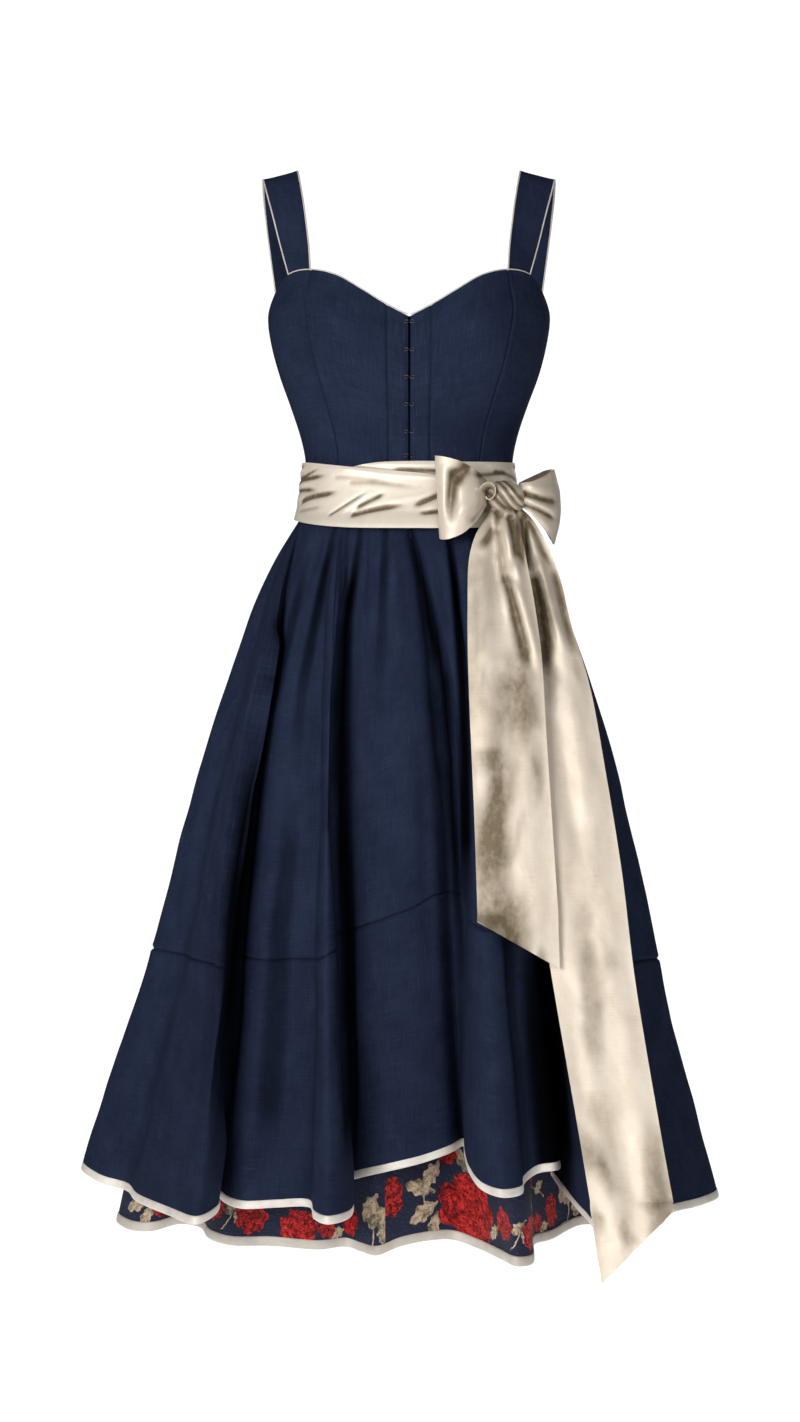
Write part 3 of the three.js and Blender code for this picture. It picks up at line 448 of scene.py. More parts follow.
def clothPiece(name, points, cloth, wall, stuff, closed=False, tube=False, shade=None):
    # points and cloth (flat position in mm) are rows x columns, top row first
    rows, cols = points.shape[:2]
    if closed:
        points = np.concatenate([points, points[:, :1]], axis=1)
        cols += 1
        if shade is not None:
            shade = np.concatenate([shade, shade[:, :1]], axis=1)
    bpy.ops.object.select_all(action='DESELECT')
    bpy.ops.mesh.primitive_grid_add(x_subdivisions=cols - 1, y_subdivisions=rows - 1, size=2, calc_uvs=True)
    obj = bpy.context.active_object
    obj.name = name
    mesh = obj.data
    mesh.name = name
    mesh.vertices.foreach_set("co", (points[::-1] * mm).reshape(-1))
    mesh.uv_layers[0].name = "cloth"
    corners = np.empty(len(mesh.loops), dtype=np.int32)
    mesh.loops.foreach_get("vertex_index", corners)
    flat = (cloth[::-1] * mm).reshape(-1, 2)
    mesh.uv_layers[0].data.foreach_set("uv", flat[corners].reshape(-1))
    if shade is not None:
        painted = mesh.attributes.new("foldShade", 'FLOAT', 'POINT')
        painted.data.foreach_set("value", np.clip(shade[::-1], -1, 1).astype(np.float32).reshape(-1))
    bpy.ops.object.mode_set(mode='EDIT')
    bpy.ops.mesh.select_all(action='SELECT')
    if closed or tube:
        bpy.ops.mesh.remove_doubles(threshold=making["mergeWithin"])
    bpy.ops.object.mode_set(mode='OBJECT')
    mesh.update()
    if wall:
        thick = obj.modifiers.new("clothThickness", 'SOLIDIFY')
        thick.thickness = wall * mm
        thick.offset = -1
        thick.use_even_offset = False
        bpy.ops.object.modifier_apply(modifier="clothThickness")
    bpy.ops.object.shade_smooth_by_angle(angle=math.radians(making["sharpAbove"]))
    dressIn(obj, stuff)
    return obj


def flatSheet(rows, cols, width, height):
    # flat positions of an even sheet, in mm
    u, v = np.meshgrid(np.linspace(0, width, cols), np.linspace(height, 0, rows))
    return np.stack([u, v], axis=2)


def cordPiece(name, path, sideways, radius, sides=10):
    # a cord covered in satin along a path, its ends closed
    path = np.array(path, dtype=float)
    sideways = np.array(sideways, dtype=float)
    ahead = np.gradient(path, axis=0)
    ahead /= np.linalg.norm(ahead, axis=1, keepdims=True)
    u = sideways - ahead * np.sum(sideways * ahead, axis=1, keepdims=True)
    u /= np.linalg.norm(u, axis=1, keepdims=True)
    v = np.cross(ahead, u)
    path = np.concatenate([path[:1], path, path[-1:]])
    u = np.concatenate([u[:1], u, u[-1:]])
    v = np.concatenate([v[:1], v, v[-1:]])
    reach = np.full(len(path), radius)
    reach[0] = reach[-1] = 0.0
    turns = np.linspace(0, 2 * math.pi, sides + 1)[:-1]
    points = (path[:, None] + u[:, None] * (np.cos(turns)[None, :, None] * reach[:, None, None])
              + v[:, None] * (np.sin(turns)[None, :, None] * reach[:, None, None]))
    steps = np.concatenate([[0], np.cumsum(np.linalg.norm(np.diff(path, axis=0), axis=1))])
    lengthwise = np.repeat(steps[:, None], sides + 1, axis=1)
    around = np.repeat(np.linspace(0, 2 * math.pi * radius, sides + 1)[None], len(path), axis=0)
    cloth = np.stack([lengthwise, around + 6], axis=2)
    made = clothPiece(name, points, cloth, 0, "satin", closed=True, tube=True)
    turnOutward()
    return made


bodice = {
    "wall": 1.0, "rows": 64, "waistSeam": -372, "bustPoint": 82, "bustSpread": 44, "squareness": 0.83,
    # height, half width, front, back, cup
    "form": [
        (-105, 149, 94, 98, 3), (-140, 156, 103, 103, 11), (-165, 162, 107, 105, 17),
        (-196, 158, 108, 106, 20), (-232, 148.5, 105, 103, 13), (-265, 136.5, 99, 97, 4),
        (-300, 124.8, 94, 90, 0), (-330, 119, 92.5, 87.5, 0), (-372, 119, 94.5, 90.5, 0)],
    # angle from the centre front, height
    "topEdge": [
        (0, -176.4), (6, -164.7), (15, -148.5), (28, -130), (44, -121.3), (62, -124), (77, -141),
        (90, -162), (105, -170), (130, -168), (150, -163), (180, -164)],
    # height, angle
    "bandSeam": [(-120, 6.0), (-200, 6.1), (-372, 8.8)],
    "princessSeam": [(-120, 43), (-151, 43), (-187, 42), (-222, 41.5), (-270, 40), (-336, 38.5), (-372, 38)],
    "sideSeam": [(-120, 93), (-372, 92)],
    "backSeam": [(-120, 140), (-372, 146)],
    "centre": [(-120, 0), (-372, 0)],
    "frontGap": 0.19,      # degrees
    "mmPerDegree": 1.9, "ripple": (0.02, 0.5),      # per mm, mm
    # depth and width of the dip at a seam, then of the ridge beside it and how far that lies from the seam
    "seamDip": (1.6, 0.9), "seamRidge": (0.3, 1.8, 3.4),
    # the strip behind the hooks, painted almost black as the shade in the slit
    "underlap": {"wall": 0.9, "rows": 40, "cols": 9, "top": -176.5, "bottom": -340, "left": -9.5,
                 "right": 6.5, "inward": 3.2, "halfWidth": 150, "shade": 0.97},
}


def oval(angle, halfWidth, front, back):
    s, c = math.sin(angle), math.cos(angle)
    power = bodice["squareness"]
    depth = front if c > 0 else back
    return (halfWidth * math.copysign(abs(s) ** power, s), -depth * math.copysign(abs(c) ** power, c))


def bodyPoint(degrees, height):
    form = bodice["form"]
    x, y = oval(math.radians(degrees), along(form, 0, 1, height), along(form, 0, 2, height),
                along(form, 0, 3, height))
    if y < 0:
        cup = max(along(form, 0, 4, height), 0)
        y -= cup * math.exp(-((abs(x) - bodice["bustPoint"]) / bodice["bustSpread"]) ** 2)
    return np.array([x, y, height])


def normalOf(form, degrees, height):
    around = form(degrees + 1.5, height) - form(degrees - 1.5, height)
    up = form(degrees, height + 2) - form(degrees, height - 2)
    n = np.cross(around, up)
    return n / np.linalg.norm(n)


def topAt(degrees):
    turned = abs((degrees + 180) % 360 - 180)
    return along(bodice["topEdge"], 0, 1, turned)


def seamSpread(w):
    # columns crowd towards the seams
    return w - 0.13 * math.sin(2 * math.pi * w)


def panelPoints(fromSeam, toSeam, rows, cols):
    def seamAt(seam, height):
        table, sign, shift = seam
        return sign * along(bodice[table], 0, 1, height) + shift

    points = np.zeros((rows, cols, 3))
    normals = np.zeros((rows, cols, 3))
    edge = np.zeros((rows, cols))
    for j in range(cols):
        w = seamSpread(j / (cols - 1))
        # the seams lean, so the angle at the top edge is found in a few rounds
        top = topAt(lerp(seamAt(fromSeam, -150), seamAt(toSeam, -150), w))
        for n in range(4):
            top = topAt(lerp(seamAt(fromSeam, top), seamAt(toSeam, top), w))
        for i in range(rows):
            height = lerp(top, bodice["waistSeam"] + 0.36, i / (rows - 1))
            a, b = seamAt(fromSeam, height), seamAt(toSeam, height)
            gapA = bodice["frontGap"] if fromSeam[0] == "centre" else 0
            gapB = bodice["frontGap"] if toSeam[0] == "centre" else 0
            degrees = lerp(a + gapA, b - gapB, w)
            points[i, j] = bodyPoint(degrees, height)
            normals[i, j] = normalOf(bodyPoint, degrees, height)
            edge[i, j] = min(w, 1 - w) * abs(b - a) * bodice["mmPerDegree"]
    return points, normals, edge


def makeBodice():
    # name, seam before, seam after, columns, flat width and height in m
    panels = [
        ("bodice_band_left", ("bandSeam", -1, 0), ("centre", 1, 0), 14, (0.026, 0.212)),
        ("bodice_band_right", ("centre", 1, 0), ("bandSeam", 1, 0), 14, (0.026, 0.212)),
        ("bodice_front_left", ("princessSeam", -1, 0), ("bandSeam", -1, 0), 44, (0.085, 0.252)),
        ("bodice_front_right", ("bandSeam", 1, 0), ("princessSeam", 1, 0), 44, (0.085, 0.252)),
        ("bodice_side_left", ("sideSeam", -1, 0), ("princessSeam", -1, 0), 44, (0.118, 0.252)),
        ("bodice_side_right", ("princessSeam", 1, 0), ("sideSeam", 1, 0), 44, (0.118, 0.252)),
        ("bodice_back_right", ("sideSeam", 1, 0), ("backSeam", 1, 0), 40, (0.104, 0.209)),
        ("bodice_back_centre", ("backSeam", 1, 0), ("backSeam", -1, 360), 60, (0.205, 0.211)),
        ("bodice_back_left", ("backSeam", -1, 360), ("sideSeam", -1, 360), 40, (0.104, 0.209)),
    ]
    # soft folds in the fitted cloth: x1, z1, x2, z2, width, depth
    pulls = [
        (-104, -318, -62, -330, 3.5, -0.9), (-112, -296, -74, -306, 4, -0.7),
        (100, -300, 66, -316, 4, -0.8), (112, -322, 70, -334, 3.5, -0.9), (-40, -322, -26, -260, 4, -0.4),
        (46, -330, 34, -262, 4, -0.4), (-150, -176, -128, -214, 6, -0.8), (150, -172, 126, -212, 6, -0.9),
        (-60, -150, -96, -186, 8, 0.4), (62, -152, 98, -190, 8, 0.4),
    ]
    backPulls = [(-60, -330, 40, -322, 4, -0.9), (20, -300, 92, -312, 5, -0.8),
                 (-90, -290, -20, -306, 5, -0.7)]
    deep, wide = bodice["seamDip"]
    high, broad, away = bodice["seamRidge"]
    fine, rise = bodice["ripple"]
    for name, fromSeam, toSeam, cols, flat in panels:
        points, normals, edge = panelPoints(fromSeam, toSeam, bodice["rows"], cols)
        # cloth turns in at each seam
        dip = deep * np.exp(-(edge / wide) ** 2) - high * np.exp(-((edge - away) / broad) ** 2)
        points = points - normals * dip[..., None]
        points = pressCreases(points, normals, pulls)
        points = pressCreases(points, normals, backPulls, side=1)
        points = points + normals * softNoise(points, fine) * rise
        cloth = flatSheet(bodice["rows"], cols, flat[0] * 1000, flat[1] * 1000)
        obj = clothPiece("cloth_" + name, points, cloth, bodice["wall"], "linen")
        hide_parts(name)
    lap = bodice["underlap"]
    rows, cols = lap["rows"], lap["cols"]
    points = np.zeros((rows, cols, 3))
    for i in range(rows):
        height = lerp(lap["top"], lap["bottom"], i / (rows - 1))
        for j in range(cols):
            x = lerp(lap["left"], lap["right"], j / (cols - 1))
            turned = math.asin((abs(x) / lap["halfWidth"]) ** (1 / bodice["squareness"]))
            degrees = math.degrees(turned) * math.copysign(1, x)
            normal = normalOf(bodyPoint, degrees, height)
            points[i, j] = bodyPoint(degrees, height) - normal * lap["inward"]
    # painted shade: the whole strip is darkened almost to black
    obj = clothPiece("cloth_hook_underlap", points, flatSheet(rows, cols, 16, 168), lap["wall"], "linen",
                     shade=np.full((rows, cols), lap["shade"]))
    print("bodice made")


strap = {
    "wall": 1.4, "pipingRadius": 0.95, "cols": 15, "perGap": 6,
    # how far the cloth and the piping reach over the half width
    "clothReach": 0.985, "pipingReach": 1.04,
    # how far the cloth and the piping start above the top edge and inside it
    "clothEnd": (0.4, 2.0), "pipingEnd": (1.4, 1.4),
    "crown": (0.7, 0.5),      # mm at the edges, and more in the middle
    "frontInner": 44, "frontOuter": 61.5, "backOuter": 116, "backInner": 137,
    # x, y, z of the middle, half width x, y, z
    "form": [
        (129.0, -59, -92, 15.2, 11, -1), (136.5, -44, -52, 17.4, 7, -2.4), (143.5, -24, -19, 18.7, 3, -4),
        (146.8, -9, -4.5, 19, 1, -4.6), (148.3, 6, 0, 19, 0, -4.8), (149.2, 22, -5, 18.9, -1, -4.6),
        (149.0, 38, -22, 18.6, -3, -3.6), (147.0, 54, -56, 17.3, -6, -2.2), (142.5, 63, -104, 15.8, -9, -1),
        (138.0, 65.5, -145, 14.6, -11.5, -0.4)],
}


def edgePoint(degrees, rise, inward=0.9):
    top = topAt(degrees)
    p = bodyPoint(degrees, top) - normalOf(bodyPoint, degrees, top) * inward
    return p + np.array([0, 0, rise])


def smoothRows(controls, count):
    # Catmull-Rom through the rows, count points for each gap
    controls = np.array(controls, dtype=float)
    padded = np.concatenate([2 * controls[:1] - controls[1:2], controls, 2 * controls[-1:] - controls[-2:-1]])
    out = []
    for i in range(1, len(padded) - 2):
        a, b, c, d = padded[i - 1], padded[i], padded[i + 1], padded[i + 2]
        for k in range(count):
            t = k / count
            out.append(0.5 * ((2 * b) + (c - a) * t + (2 * a - 5 * b + 4 * c - d) * t * t
                              + (3 * b - a - 3 * c + d) * t ** 3))
    out.append(padded[-2])
    return np.array(out)


def strapLine(w, end):
    # one line along the strap; w is -1 at its inner edge and 1 at its outer
    rise, inward = end
    front = edgePoint(lerp(strap["frontInner"], strap["frontOuter"], (w + 1) / 2), rise, inward)
    back = edgePoint(lerp(strap["backInner"], strap["backOuter"], (w + 1) / 2), rise, inward)
    middle = [(x + wx * w, y + wy * w, z + wz * w) for x, y, z, wx, wy, wz in strap["form"]]
    return smoothRows([front] + middle + [back], strap["perGap"])


def makeStraps():
    for word, side in (("left", -1), ("right", 1)):
        across = np.linspace(-strap["clothReach"], strap["clothReach"], strap["cols"])
        points = np.stack([strapLine(w, strap["clothEnd"]) for w in across], axis=1)
        if side < 0:
            points = points[:, ::-1] * np.array([-1, 1, 1])
        normals = gridNormals(points)
        w = np.linspace(-1, 1, points.shape[1])[None, :, None]
        low, more = strap["crown"]
        points = points + normals * (low + more * (1 - w ** 6)) + normals * softNoise(points, 0.03, 4) * 0.4
        cloth = flatSheet(points.shape[0], points.shape[1], 37, 420)
        obj = clothPiece("cloth_strap_" + word, points, cloth, strap["wall"], "linen")
        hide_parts("strap_" + word)
        for edge, w in (("inner", -1), ("outer", 1)):
            path = strapLine(w * strap["pipingReach"], strap["pipingEnd"]) * np.array([side, 1, 1])
            sideways = np.tile(np.array([side * w, 0.2, 0.0]), (len(path), 1))
            cord = cordPiece("piping_strap_%s_%s" % (word, edge), path, sideways, strap["pipingRadius"])
            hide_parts("strap_piping_%s_%s" % (word, edge))
    for name, start, stop, count in (("top_piping_left", -strap["frontOuter"], -0.3, 60),
                                     ("top_piping_right", 0.3, strap["frontOuter"], 60),
                                     ("top_piping_back", strap["backOuter"], 360 - strap["backOuter"], 90)):
        angles = np.linspace(start, stop, count)
        path = [edgePoint(a, 1.0) for a in angles]
        sideways = [normalOf(bodyPoint, a, topAt(a)) for a in angles]
        cord = cordPiece("cord_" + name, path, sideways, strap["pipingRadius"])
        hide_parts(name)
    print("straps and piping made")


skirt = {
    # fall from the waist seam to the hem, how far the thread has flared
    "flare": [
        (0, 0), (0.028, 0.024), (0.05, 0.066), (0.09, 0.14), (0.152, 0.233), (0.226, 0.318),
        (0.277, 0.374), (0.365, 0.463), (0.485, 0.562), (0.602, 0.652), (0.657, 0.694), (0.745, 0.768),
        (0.878, 0.896), (1, 1)],
    "perFold": 8,          # threads from one row of the skirts' tables to the next
    "sway": (390, 650, 5.5),      # start below the shoulders, height, most
    # points round the hem's binding, how full it is, how square outwards and at its edges
    "bindingRound": 13, "bindingFull": 1.25, "bindingSquare": (0.55, 0.7),
}
overskirt = {
    "upperRows": 56, "flounceRows": 33, "nearSeam": (4.5, 2.6, 1.2, 0),      # extra rows, mm from the seam
    # wide and small unevenness: per mm, seed, mm
    "drift": ((0.0075, 0, 3.0), (0.024, 7, 0.9)), "driftByTails": 0.2,
    # flounce seam: depth and width of its dip, then its puckers' height, distance and width
    "seamDip": (2.2, 1.5), "pucker": (0.5, 5, 3),
    "wall": 0.9, "binding": 8.8, "hemBehind": -1160, "seamBehind": -890,
    # waist angle, x, y, hem, flounce seam, swing
    "front": [
        (-93, -376, 4, -1142, -888, 0), (-91, -352, -38, -1152, -890, 0),
        (-89, -322, -54, -1158, -892, 0), (-87, -303, -118, -1160, -893, 0),
        (-84, -262, -198, -1161, -894, -2), (-80, -227, -252, -1162, -894, -12),
        (-76, -207, -192, -1158, -893, -26), (-72, -216, -126, -1150, -890, -14),
        (-66, -200, -160, -1156, -890, -8), (-60, -180, -184, -1157, -890, -4),
        (-52, -145, -187, -1155, -888, 0), (-45, -110, -190, -1154, -888, 0),
        (-42, -102, -232, -1160, -886, -2), (-38, -88, -256, -1161, -880, -6),
        (-34, -72, -240, -1161, -876, -10), (-31, -61, -190, -1159, -870, -16),
        (-28, -68, -122, -1138, -862, -8), (-24, -55, -136, -1131, -855, 2),
        (-17, -26, -152, -1122, -846, 2), (-10, 14, -154, -1112, -834, 4), (-5, 45, -142, -1103, -820, 6),
        (0, 60, -112, -1100, -818, 8), (4, 61, -150, -1106, -832, 10), (8, 65, -208, -1116, -842, 9),
        (13, 78, -248, -1127, -848, 5), (19, 98, -266, -1131, -852, 2), (25, 118, -254, -1130, -852, 0),
        (28, 124, -214, -1124, -850, 0), (32, 138, -206, -1115, -850, 0), (38, 157, -206, -1112, -852, 0),
        (43, 165, -150, -1118, -856, 0), (48, 160, -80, -1138, -866, 0), (52, 178, -128, -1158, -880, 0),
        (56, 190, -205, -1164, -886, 0), (61, 204, -266, -1168, -890, 2), (66, 236, -276, -1170, -893, 2),
        (72, 268, -212, -1171, -895, 2), (78, 293, -120, -1172, -897, 2), (83, 328, -70, -1173, -898, 1),
        (89, 355, -4, -1172, -900, 0)],
    # crown angle, reach, valley angle, dip, spread
    "back": [(106, 342, 124, 236, 7), (141, 318, 157, 196, 8), (172, 298, 186, 184, 8),
             (201, 304, 216, 200, 8), (230, 322, 246, 240, 7)],
}
underskirt = {
    "rows": 60, "drift": ((0.012, 3, 2.0), (0.05, 5, 0.6)),
    "wall": 0.9, "binding": 10.4, "hemBehind": -1206, "inset": 2.4,
    # waist angle, width and height of the hem's lift
    "lift": (82, 15, 25),
    # waist angle, x, y, hem
    "front": [
        (-93, -336, 12, -1203), (-90, -319, -26, -1208), (-87, -292, -40, -1207), (-83, -262, -24, -1202),
        (-78, -238, -40, -1203), (-72, -224, -84, -1208), (-65, -197, -112, -1210),
        (-56, -153, -125, -1208), (-46, -101, -120, -1213), (-36, -70, -98, -1214),
        (-26, -54, -110, -1217), (-18, -36, -128, -1218), (-9, -10, -118, -1210), (2, 26, -96, -1207),
        (12, 50, -84, -1209), (19, 76, -102, -1215), (25, 98, -150, -1217), (31, 116, -186, -1219),
        (37, 133, -172, -1220), (43, 140, -92, -1213), (49, 162, -52, -1214), (56, 198, -12, -1205),
        (64, 236, -40, -1205), (72, 262, -96, -1206), (80, 292, -58, -1205), (89, 318, 10, -1204)],
    "back": [(112, 262, 130, 208, 8), (150, 186, 166, 168, 8), (187, 172, 205, 172, 8),
             (224, 196, 244, 214, 8)],
}


def foldRows(front, back, hem, seam, squash):
    rows = [tuple(row) + (0,) * (6 - len(row)) for row in front]
    for crown, reach, valley, dip, spread in back:
        for degrees, far in ((crown - spread, reach * 0.96), (crown, reach), (crown + spread, reach * 0.95),
                             (valley, dip)):
            a = math.radians(degrees)
            rows.append((degrees, far * math.sin(a), -far * math.cos(a) * squash, hem, seam, 0))
    return rows


def closedCurve(points, k, t):
    # centripetal Catmull-Rom between points k and k + 1 of a closed list
    n = len(points)
    p0, p1, p2, p3 = (points[(k + i) % n] for i in (-1, 0, 1, 2))
    d0, d1, d2 = (max(np.linalg.norm(b - a) ** 0.5, 1e-4) for a, b in ((p0, p1), (p1, p2), (p2, p3)))
    m1 = ((p1 - p0) / d0 - (p2 - p0) / (d0 + d1) + (p2 - p1) / d1) * d1
    m2 = ((p2 - p1) / d1 - (p3 - p1) / (d1 + d2) + (p3 - p2) / d2) * d1
    return (p1 + m1 * t + (-3 * p1 + 3 * p2 - 2 * m1 - m2) * t * t
            + (2 * p1 - 2 * p2 + m1 + m2) * t ** 3)


def threadsOf(rows):
    feet = [np.array(row[1:4], dtype=float) for row in rows]
    threads = []
    for k, row in enumerate(rows):
        following = rows[(k + 1) % len(rows)]
        turn = 360 if following[0] < row[0] else 0
        for n in range(skirt["perFold"]):
            t = n / skirt["perFold"]
            threads.append({
                "waist": lerp(row[0], following[0] + turn, t), "foot": closedCurve(feet, k, t),
                "seam": lerp(row[4], following[4], t), "swing": lerp(row[5], following[5], t)})
    return threads


def waistPoints(threads, inset):
    top = bodice["waistSeam"]
    return [bodyPoint(t["waist"], top) - normalOf(bodyPoint, t["waist"], top) * inset for t in threads]


def threadPoint(thread, waist, fall):
    s = along(skirt["flare"], 0, 1, min(fall, 1.0))
    sway = thread["swing"] * math.sin(math.pi * min(fall * 1.1, 1))
    foot = thread["foot"]
    return np.array([lerp(waist[0], foot[0], s) + sway, lerp(waist[1], foot[1], s),
                     lerp(bodice["waistSeam"] - 0.18, foot[2], fall)])


def skirtPoints(threads, inset, falls):
    waists = waistPoints(threads, inset)
    points = np.zeros((len(falls[0]), len(threads), 3))
    for j, (thread, waist) in enumerate(zip(threads, waists)):
        for i, fall in enumerate(falls[j]):
            points[i, j] = threadPoint(thread, waist, fall)
    # the skirts sway a little to the right at mid height
    start, tall, most = skirt["sway"]
    x, z = points[..., 0], points[..., 2]
    sway = np.sin(math.pi * np.clip((-z - start) / tall, 0, 1)) * most
    points[..., 0] = x + sway * np.clip(np.abs(x) / 1000 / (0.13 + (-z - 410) * 0.00034), 0, 1) ** 4
    return points


def hemLength(threads):
    feet = np.array([t["foot"] for t in threads] + [threads[0]["foot"]])
    return np.concatenate([[0], np.cumsum(np.linalg.norm(np.diff(feet, axis=0), axis=1))])


def ringCloth(points, threads):
    # flat position: along the hem and up from it
    girth = hemLength(threads)
    tall = np.zeros(points.shape[:2])
    lengths = np.linalg.norm(np.diff(points, axis=0), axis=2)
    tall[:-1] = np.cumsum(lengths[::-1], axis=0)[::-1]
    tall = np.concatenate([tall, tall[:, :1]], axis=1)
    return np.stack([np.repeat(girth[None], len(points), axis=0), tall], axis=2)


def bindingPiece(name, threads, depth, inset, wall, nodes, shade):
    # satin folded round the hem: an oval strip, fuller outside
    waists = waistPoints(threads, inset)
    ring = []
    for thread, waist in zip(threads, waists):
        drop = thread["foot"][2] - bodice["waistSeam"]
        ring.append([threadPoint(thread, waist, 1 + depth / drop), threadPoint(thread, waist, 1)])
    ring = np.array(ring).transpose(1, 0, 2)
    normals = gridNormals(ring, True)
    middle = ring.mean(axis=0) - normals.mean(axis=0) * (wall / 2)
    up = ring[0] - ring[1]
    up /= np.linalg.norm(up, axis=1, keepdims=True)
    out = normals.mean(axis=0)
    pull = 1 + 0.05 * np.sin(np.arange(len(threads)) * 1.7) + 0.04 * np.sin(np.arange(len(threads)) * 0.61)
    profile = []
    square, edge = skirt["bindingSquare"]
    for turn in np.linspace(math.pi / 2, math.pi / 2 - 2 * math.pi, skirt["bindingRound"])[:-1]:
        c, s = math.cos(turn), math.sin(turn)
        outward = skirt["bindingFull"] * math.copysign(abs(c) ** square, c)
        upward = (depth / 2 + 0.2) * math.copysign(abs(s) ** edge, s)
        profile.append(middle + out * (outward * pull)[:, None] + up * upward)
    profile.append(profile[0])
    points = np.array(profile)
    around = np.linspace(0, 2 * depth, len(profile))
    girth = hemLength(threads)
    cloth = np.stack([np.repeat(girth[None], len(profile), axis=0),
                      np.repeat(around[:, None], len(girth), axis=1)], axis=2)
    # painted shade on the binding's downward-facing side, plus the painted shade given for the whole binding
    paintedUnderShade = np.clip((gridNormals(points, True)[..., 2] + 0.2) * -0.8, 0, 0.3)
    obj = clothPiece(name, points, cloth, 0, "satin", closed=True, tube=True, shade=paintedUnderShade + shade)
    turnOutward()
    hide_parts(*nodes)
    return obj


# pleats and drape creases pressed into the cloth: x1, z1, x2, z2, width, depth
skirtCreases = [
    (-74, -408, -84, -560, 5, -5.0), (-41, -408, -44, -520, 4.5, -4.0), (0, -408, 27, -540, 5.5, -5.5),
    (20, -505, 43, -720, 6, -5.0), (48, -408, 56, -640, 5, -6.5), (-100, -412, -128, -520, 6, -4.0),
    (-20, -412, -14, -560, 9, 3.0), (64, -415, 70, -560, 6, 3.5), (-58, -412, -64, -580, 7, 3.0),
    (-150, -520, -186, -700, 11, -5.0), (-104, -560, -118, -880, 12, 2.5),
    (-132, -620, -150, -930, 9, -2.5), (-236, -640, -282, -930, 10, -3.0),
    (-206, -560, -246, -880, 14, 2.5), (-268, -880, -318, -1120, 9, -3.5), (-6, -620, 8, -900, 14, 2.0),
    (16, -660, 24, -980, 8, -2.0), (-30, -760, -34, -1060, 9, -2.2), (-262, -960, -276, -1130, 8, 2.2),
    (-160, -940, -164, -1120, 8, -2.0), (96, -560, 110, -760, 6, -3.0), (210, -700, 262, -960, 9, -3.0),
    (252, -760, 306, -1060, 10, 2.5), (292, -960, 322, -1130, 7, -3.0),
]
skirtCreasesBehind = [
    (-80, -408, -96, -560, 6, -5), (-40, -408, -44, -600, 6, -5), (10, -408, 16, -580, 6, -5),
    (52, -408, 70, -620, 6, -5), (90, -410, 120, -560, 7, -5), (-120, -520, -190, -860, 12, -3),
    (40, -640, 60, -1000, 12, -3), (150, -620, 220, -980, 12, 3), (-30, -700, -36, -1050, 10, 2.5),
]


skirtFolds = [
    # the deepest folds, each from the waist down: z, x, width, depth
    [(-412, -54, 3, -3), (-472, -63, 4.5, -8), (-516, -71, 6, -11), (-604, -76, 8, -13),
     (-692, -77, 8.5, -12), (-769, -74, 8, -11), (-868, -70, 7.5, -10), (-960, -68, 7, -9),
     (-1060, -66, 6.5, -7), (-1120, -65, 6, 0)],
    [(-412, 2, 3, -5), (-494, 20, 5.5, -9), (-582, 38, 7.5, -12), (-648, 43, 6.5, -11), (-769, 50, 6, -8),
     (-846, 54, 5, -6), (-940, 58, 5, 0)],
    [(-420, 44, 3.5, -5), (-472, 50, 4.5, -8), (-582, 58, 6, -10), (-670, 61, 6, -9), (-760, 62, 6, -8),
     (-850, 60, 5, 0)],
    [(-480, -142, 5, 0), (-530, -150, 7, -7), (-615, -168, 9, -11), (-692, -180, 10, -13),
     (-780, -189, 10, -13), (-868, -195, 9, -11), (-977, -199, 8, -9), (-1090, -203, 7, 0)],
    [(-412, -84, 3, -4), (-450, -92, 4.5, -7), (-520, -106, 5.5, -6), (-596, -120, 6, -4),
     (-700, -128, 6, 0)],
    [(-412, -26, 3, -3), (-460, -28, 4.5, -5), (-560, -32, 6, -2), (-640, -34, 6, 0)],
    [(-700, -128, 8, 0), (-766, -132, 9, -3.5), (-852, -142, 12, -4.5), (-958, -147, 15, -5),
     (-1052, -153, 15, -5), (-1120, -156, 14, 0)],
    [(-760, -205, 9, 0), (-852, -210, 13, -2.5), (-958, -213, 15, -3), (-1052, -219, 15, -2.5),
     (-1110, -222, 14, 0)],
    [(-430, -112, 4, 0), (-490, -126, 5, -5), (-560, -142, 5, -3.5), (-640, -158, 6, 0)],
    [(-430, -48, 3, 2), (-520, -52, 5, 3.5), (-640, -54, 7, 3), (-800, -50, 8, 0)],
    [(-420, 14, 3, 2), (-520, 34, 4, 3), (-620, 54, 5, 3), (-700, 58, 5, 0)],
]
# painted shadow where the cloth turns in behind the tails: z, x, half width, share
skirtShadow = [(-860, 136, 14, 0), (-885, 142, 22, 0.9), (-960, 146, 24, 1), (-1040, 152, 24, 1),
               (-1100, 156, 22, 1), (-1160, 160, 20, 0.8)]
skirtPaintedShade = {
    # painted shade in the valleys: threads on each side that a point is set against, mm behind them where the
    # painted shade starts, and to its full
    "beside": 12, "slack": 8, "full": 26, "from": 430, "over": 260,
    # painted shade towards the hem
    "hem": (700, 400, 0.22),      # start below the shoulders, height, share towards the hem
}


def downFold(rows, z):
    # x, width and depth of a fold at each height
    table = np.array(rows[::-1], dtype=float)
    return [np.interp(z, table[:, 0], table[:, i]) for i in (1, 2, 3)]


def pressFolds(points, normals, folds, downTo=None):
    x, z = points[..., 0], points[..., 2]
    amount = np.zeros(x.shape)
    for rows in folds:
        middle, width, depth = downFold(rows, z)
        inside = (z <= rows[0][0] + 8) & (z >= rows[-1][0])
        amount += np.where(inside, depth * np.exp(-((x - middle) / width) ** 2), 0)
    return pressed(points, normals, amount, downTo=downTo)


